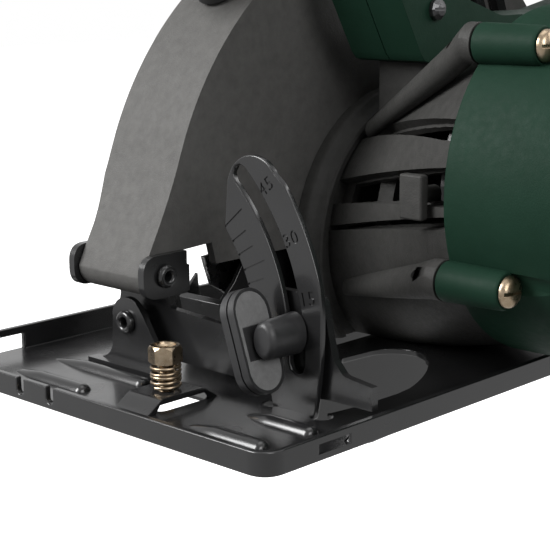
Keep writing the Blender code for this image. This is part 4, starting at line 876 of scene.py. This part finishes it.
def upper_guard():
    """The cast cover: a smooth shell with rounded rims, its nose, its hinge boss and its holes."""
    shoulder = polar(SPINDLE_CENTRE, GUARD_RADIUS, SHOULDER)
    pin = (DEPTH_BACK, DEPTH_UP)
    nose = [shoulder, *bend(shoulder, (41.3, 53.5), (32.5, 40.0), (30.6, 35.0), 12),
            *arc(pin, HINGE_BOSS, 180, 360, 5), (44.6, 41.0), (59.6, 41.7), (61.4, GUARD_FLOOR - 0.1)]
    guard = slab("guard", "side", guard_outline(GUARD_RADIUS, GUARD_FLOOR, nose), *GUARD_ACROSS)
    guard = round_rims(guard, GUARD_RIM, 5)
    inside_nose = [(48.0, 63.0), (45.0, 55.0), (49.0, 46.0), (49.0, 20.0)]
    inner = guard_outline(GUARD_RADIUS - GUARD_SKIN, 20.0, inside_nose)
    depth_axis = (DEPTH_BACK, 0, DEPTH_UP)
    # room for the bracket's ear, fading out towards the side wall
    ear_room = [(3.5, 110.5), (12.8, 110.5), (17.0, 111.0), (30.0, 113.4), (30.0, 118.0), (3.5, 118.0)]
    guard = cut(guard,
                slab("cavity", "side", inner, GUARD_ACROSS[0] + GUARD_WALL, GUARD_ACROSS[1] - GUARD_WALL),
                rod("spindle_hole", "across", SPINDLE_AXIS, 18.5, 78, 88, steps=BORE_TURN),
                rod("bolt_access", "across", SPINDLE_AXIS, 30.0, 108, 118, steps=FINE_TURN),
                rod("pin_hole", "across", depth_axis, PIN_HOLE, 70, 120, steps=HOLE_TURN),
                turned("ear_room", ear_room, "across", depth_axis, steps=FINE_TURN, ring=True),
                rod("stud_hole", "across", (LOCK_CENTRE[0], 0, LOCK_CENTRE[1]), BOLT_HOLE, 78, 88,
                    steps=HOLE_TURN))
    stand_for(guard, "upper_guard")


def case_centre(across):
    t = (CASE_TOP_ACROSS - across) / (CASE_TOP_ACROSS - CASE_MOUTH)
    return tuple(a + (b - a) * t for a, b in zip(CASE_ROOT, CASE_END))


def case_ring(across, grow):
    back, up, radius = case_centre(across)
    step = 360 / WIDE_TURN
    return [place(x, across, z) for x, z in arc((back, up), radius + grow, 0, 360 - step, step)]


def case_block(name, root, end, grow, sink=CASE_INSIDE, begin=0.0, until=1.0):
    """A raised block of the case between two pairs of angles, at the guard and at the motor."""
    rings = []
    for i in range(BLOCK_STATIONS):
        t = begin + (until - begin) * i / (BLOCK_STATIONS - 1)
        across = BLOCK_TOP_ACROSS + (CASE_MOUTH - BLOCK_TOP_ACROSS) * t
        back, up, radius = case_centre(across)
        low = root[0] + (end[0] - root[0]) * t
        high = root[1] + (end[1] - root[1]) * t
        outer = [polar((back, up), radius + grow, low + (high - low) * k / BLOCK_POINTS)
                 for k in range(BLOCK_POINTS + 1)]
        inner = [polar((back, up), radius + sink, high + (low - high) * k / BLOCK_POINTS)
                 for k in range(BLOCK_POINTS + 1)]
        rings.append([place(x, across, z) for x, z in outer + inner])
    return loft(name, rings)


def screw_station(index):
    return polar(MOTOR_CENTRE, SCREW_CIRCLE, SCREW_ANGLES[index])


# raised blocks: their angles at the guard and at the motor, and their height; between them lie the deep vents
CASE_BLOCKS = (((60.0, 122.0), (60.0, 154.0), 0.2), ((128.0, 150.0), (162.0, 170.0), 1.0),
               ((161.0, 171.0), (183.0, 186.0), 0.8), ((173.0, 308.0), (190.5, 330.0), 1.15),
               ((322.0, 350.0), (338.0, 356.0), 0.9), ((0.0, 30.0), (4.0, 30.0), 0.7))
CASE_VENTS = (((123.5, 126.5), (155.0, 161.0)), ((151.0, 160.0), (171.0, 182.0)),
              ((171.5, 172.5), (187.0, 189.5)))
# the screw ribs: across, radius, and how far along from the case to the screw
SCREW_RIB = ((66.0, 3.0, 0.0), (40.0, 4.4, 0.45), (20.0, 5.4, 0.8), (10.0, 6.0, 1.0), (CASE_MOUTH, 6.0, 1.0))


def gear_case():
    case = loft("case", [case_ring(CASE_TOP_ACROSS, CASE_SKIN), case_ring(CASE_MOUTH, CASE_SKIN)])
    for root, end, height in CASE_BLOCKS:
        case = join(case, case_block("block", root, end, height))
    for root, end in CASE_VENTS:
        case = cut(case, case_block("vent", root, end, VENT_HEIGHT, VENT_SINK, *VENT_SPAN))
    flange_profile = [(0, 74.2), (46.4, 74.2), (46.6, 72.9), (47.2, 72.3), (49.0, 72.2), (49.8, 72.7),
                      (50.6, 74.4), (51.4, 75.6), (52.6, 76.3), (53.1, 77.2), (53.3, 78.4),
                      (53.3, GUARD_ACROSS[0] - GAP), (0, GUARD_ACROSS[0] - GAP)]
    case = join(case, turned("flange", flange_profile, "across", SPINDLE_AXIS, steps=WIDE_TURN))
    for i in range(len(SCREW_ANGLES)):
        x, z = screw_station(i)
        pull = case_centre(RIB_ROOT)
        start = polar(pull[:2], pull[2] - 1.0, SCREW_ANGLES[i])
        rings = []
        for across, size, t in SCREW_RIB:
            centre = (start[0] + (x - start[0]) * t, start[1] + (z - start[1]) * t)
            rings.append([place(a, across, b) for a, b in arc(centre, size, 0, 345, 15)])
        case = join(case, loft("screw_rib", rings))
    case = join(case, block("handle_pad", (118.2, 167.8), (41.3, 62.7), (70.3, 95.0)))
    hollow = loft("hollow", [case_ring(70.5, CASE_INSIDE), case_ring(CASE_MOUTH - 4.0, CASE_INSIDE)])
    hollow = cut(hollow, block("floor", *BELOW_CASE, (CASE_DEEP, FLOOR + 2.8)))
    lock_room = join(block("button_room", (79.3, 86.0), (13.9, 23.1), (52.9, 67.1)),
                     rod("lock_hole", "back", (0, *LOCK_BUTTON), 3.03, 84.7, 96.3, steps=LOCK_TURN))
    case = cut(case, lock_room, hollow,
               block("level", *BELOW_CASE, (CASE_DEEP, FLOOR)),
               rod("pinion_room", "across", MOTOR_AXIS, 11.4, 54.0, 70.9, steps=HOLE_TURN))
    case = join(case, rod("collar", "across", SPINDLE_AXIS, 16.0, 71.0, 92.4, steps=BORE_TURN))
    case = cut(case, rod("spindle_bore", "across", SPINDLE_AXIS, 8.4, 60, 99, steps=HOLE_TURN))
    for i in range(len(SCREW_ANGLES)):
        x, z = screw_station(i)
        case = cut(case, rod("screw_hole", "across", (x, 0, z), SCREW_HOLE, 0, 18, steps=SCREW_TURN))
    stand_for(case, "gear_case", 0.9)


def motor_housing():
    """Green shell with a rolled mouth and four screw bosses that fair into it."""
    r = HOUSING_RADIUS
    mouth = CASE_MOUTH - GAP
    profile = [(0, mouth), (r - 0.8, mouth), (r - 0.2, mouth - 0.3), (r, mouth - 1.0), (r, -2.0),
               (r - 0.3, -14.0), (r - 1.2, -23.0), (r - 2.6, -32.0), (r - 3.2, -60.0), (r - 3.6, HOUSING_END),
               (0, HOUSING_END)]
    housing = turned("housing", profile, "across", MOTOR_AXIS, steps=HOUSING_TURN)
    for i in range(len(SCREW_ANGLES)):
        x, z = screw_station(i)
        boss = [(0, mouth), (5.3, mouth), (5.9, mouth - 0.5), (6.0, mouth - 1.4), (5.8, -6.0), (5.6, -14.2),
                (5.2, BOSS_END), (0, BOSS_END)]
        housing = join(housing, turned("boss", boss, "across", (x, 0, z), steps=SMALL_TURN))
    housing = cut(housing, rod("inside", "across", MOTOR_AXIS, r - 6.6, HOUSING_END - CLEAR, mouth + CLEAR,
                               steps=WIDE_TURN))
    for i in range(len(SCREW_ANGLES)):
        x, z = screw_station(i)
        housing = cut(housing,
                      rod("screw_hole", "across", (x, 0, z), SCREW_HOLE, BOSS_END - CLEAR, mouth + CLEAR,
                          steps=SCREW_TURN),
                      rod("head_room", "across", (x, 0, z), HEAD_ROOM, -32, BOSS_END, steps=HOLE_TURN))
    stand_for(housing, "motor_housing", 0.8)


def pan_screw(node, centre, head_across, shank, length, head):
    """Slotted pan head screw."""
    h = head_across
    profile = [(0, h - 2.6), (head * 0.45, h - 2.55), (head * 0.75, h - 2.2), (head * 0.93, h - 1.5),
               (head, h - 0.7), (head, h), (shank, h), (shank, h + length), (0, h + length)]
    screw = turned("screw", profile, "across", (centre[0], 0, centre[1]), steps=SMALL_TURN)
    slot = block("slot", (centre[0] - 5, centre[0] + 5), (h - 4, h - 1.6), (centre[1] - 0.5, centre[1] + 0.5))
    stand_for(cut(screw, slot), node, 0.12)


def front_grip():
    """Mushroom grip with a turned neck."""
    centre = polar(SPINDLE_CENTRE, GUARD_RADIUS + GAP, GRIP_ANGLE)
    profile = [(0, 0.6), (8.6, 0.6), (9.0, 1.0), (9.5, 4.0), (9.1, 8.0), (9.0, 12.0),
               *bend((9.0, 12.0), (9.4, 15.2), (13.0, 15.0), (14.5, 17.0), 5),
               *bend((14.5, 17.0), (17.2, 20.5), (18.2, 25.0), (17.2, 30.0), 8),
               *bend((17.2, 30.0), (16.2, 36.5), (10.0, 41.6), (0.0, 42.0), 10), (0, 42.0)]
    grip = turned("grip", profile, "up", (centre[0], GRIP_ACROSS, centre[1]), steps=GRIP_TURN)
    pivot = place(centre[0], GRIP_ACROSS, centre[1])
    lean = Matrix.Rotation(math.radians(GRIP_ANGLE - 90.0), 4, "Y")
    grip.data.transform(Matrix.Translation(pivot) @ lean @ Matrix.Translation(-pivot))
    stand_for(grip, "front_grip")


def dress_cad():
    """Refine the nodes that keep their CAD form, and give the rest their material."""
    replaced = {obj.name.removesuffix("_fine") for obj in bpy.data.objects if obj.name.endswith("_fine")}
    for node, obj in frame["nodes"].items():
        if node in replaced:
            continue
        if node in REFINED:
            refined(node, REFINED[node])
            continue
        obj.data.materials.clear()
        obj.data.materials.append(MATERIALS[LOOKS.get(node, SLOTS[node])])
        for face in obj.data.polygons:
            face.material_index = 0


# ---------------------------------------------------------------- studio

CAMERA_STATION = (-242.39, -237.84, 126.43)      # back, across, up
CAMERA_FORWARD = (0.70292, 0.67888, -0.21221)    # back, across, up
CAMERA_ROLL = -0.503                             # degrees
FOCAL = 94.22
SENSOR = 36.0
CLIP_START = 0.01
FLOOR_UP = -0.16
FLOOR_HALF = 4.0
BACKDROP_SIDE = (-0.72, -0.69, 0.05)             # where the bright end of the studio lies, seen from the saw
BACKDROP = 1.0                                   # brightness of everything behind the saw
FILL = 0.25                                      # even light on the matt surfaces
SWEEP = (0.85, 1.2)                              # reflected studio: its dim end and its bright end
SWEEP_SPAN = (0.45, 0.98)                        # how directly a reflection faces those two ends
# name: location and target in metres, size in metres, power in watts
LIGHTS = {
    "key": ((0.75, -0.45, 0.55), (0.05, 0, 0.05), (0.5, 0.5), 13.0),
    "side": ((0.35, 0.95, 0.55), (0.0, 0, 0.05), (0.6, 0.6), 5.0),
    "back": ((-0.8, 0.6, 0.6), (0, 0, 0.05), (0.7, 0.7), 5.0),
    "top": ((-0.1, 0.0, 1.2), (0, 0, 0), (0.8, 0.8), 3.0),
}


def make_camera():
    data = bpy.data.cameras.new("camera")
    data.lens = FOCAL
    data.sensor_width = SENSOR
    data.clip_start = CLIP_START
    camera = link_new("camera", data)
    back, across, rise = CAMERA_FORWARD
    forward = Vector((-back, -across, rise)).normalized()
    right = forward.cross(Vector((0, 0, 1))).normalized()
    up = right.cross(forward)
    roll = math.radians(CAMERA_ROLL)
    rolled_right = right * math.cos(roll) + up * math.sin(roll)
    rolled_up = up * math.cos(roll) - right * math.sin(roll)
    turn = Matrix((rolled_right, rolled_up, -forward)).transposed().to_4x4()
    camera.matrix_world = Matrix.Translation(place(*CAMERA_STATION)) @ turn
    bpy.context.scene.camera = camera


def area_light(name, location, target, size, power):
    data = bpy.data.lights.new(name, "AREA")
    data.shape = "RECTANGLE"
    data.size, data.size_y = size
    data.energy = power
    lamp = link_new(name, data)
    lamp.location = location
    lamp.rotation_euler = (Vector(target) - Vector(location)).to_track_quat("-Z", "Y").to_euler()


def make_world():
    """White for the camera, a graded sweep for reflections, and a low even fill."""
    world = bpy.data.worlds.new("studio")
    bpy.context.scene.world = world
    world.use_nodes = True
    tree = world.node_tree
    white = tree.nodes["Background"]
    white.inputs["Color"].default_value = (1.0, 1.0, 1.0, 1.0)
    white.inputs["Strength"].default_value = BACKDROP
    fill = tree.nodes.new("ShaderNodeBackground")
    fill.inputs["Strength"].default_value = FILL
    sweep = tree.nodes.new("ShaderNodeBackground")
    coords = tree.nodes.new("ShaderNodeTexCoord")
    facing = tree.nodes.new("ShaderNodeVectorMath")
    facing.operation = "DOT_PRODUCT"
    facing.inputs[1].default_value = BACKDROP_SIDE
    tree.links.new(coords.outputs["Generated"], facing.inputs[0])
    grade = tree.nodes.new("ShaderNodeMapRange")
    grade.interpolation_type = "SMOOTHSTEP"
    grade.inputs["From Min"].default_value = SWEEP_SPAN[0]
    grade.inputs["From Max"].default_value = SWEEP_SPAN[1]
    grade.inputs["To Min"].default_value = SWEEP[0]
    grade.inputs["To Max"].default_value = SWEEP[1]
    tree.links.new(facing.outputs["Value"], grade.inputs["Value"])
    tree.links.new(grade.outputs["Result"], sweep.inputs["Strength"])
    path = tree.nodes.new("ShaderNodeLightPath")
    glossy = tree.nodes.new("ShaderNodeMixShader")
    tree.links.new(path.outputs["Is Glossy Ray"], glossy.inputs["Fac"])
    tree.links.new(fill.outputs["Background"], glossy.inputs[1])
    tree.links.new(sweep.outputs["Background"], glossy.inputs[2])
    camera = tree.nodes.new("ShaderNodeMixShader")
    tree.links.new(path.outputs["Is Camera Ray"], camera.inputs["Fac"])
    tree.links.new(glossy.outputs["Shader"], camera.inputs[1])
    tree.links.new(white.outputs["Background"], camera.inputs[2])
    tree.links.new(camera.outputs["Shader"], tree.nodes["World Output"].inputs["Surface"])


def make_floor():
    """A pale floor that shows to the camera and leaves the saw's own light alone."""
    bm = bmesh.new()
    bmesh.ops.create_grid(bm, x_segments=1, y_segments=1, size=FLOOR_HALF)
    mesh = bpy.data.meshes.new("studio_floor")
    bm.to_mesh(mesh)
    bm.free()
    floor = link_new("studio_floor", mesh)
    floor.location.z = FLOOR_UP
    floor.visible_diffuse = False
    floor.visible_glossy = False
    mat, tree, shader, coords = node_material("pale_floor")
    tone = noise(tree, coords, 3.0)
    tree.links.new(ramp(tree, tone, [(NOISE_LOW, (0.93, 0.93, 0.93)), (NOISE_HIGH, (0.96, 0.96, 0.96))]),
                   shader.inputs["Base Color"])
    shader.inputs["Roughness"].default_value = 0.9
    shader.inputs["Emission Color"].default_value = (1, 1, 1, 1)
    shader.inputs["Emission Strength"].default_value = BACKDROP
    mesh.materials.append(mat)


def make_studio():
    bpy.context.scene.view_settings.view_transform = "Standard"
    make_world()
    for name, lamp in LIGHTS.items():
        area_light(name, *lamp)
    make_floor()


base_plate()
front_pivot_ear()
front_bevel_rivet()
fence_bolt()
spring("clamp_spring", "fence_clamp_spring", "up", (*FENCE_BOLT, 0), 4.1, 1.05, 7.0, 13.2, 4.5)
front_tilt_bracket()
bevel_lock_knob()
upper_guard()
gear_case()
motor_housing()
for number in range(len(SCREW_ANGLES)):
    pan_screw("motor_screw_%d" % (number + 1), screw_station(number), SCREW_HEAD_ACROSS, 2.0, 30.0, 4.6)
front_grip()
dress_cad()
make_camera()
make_studio()
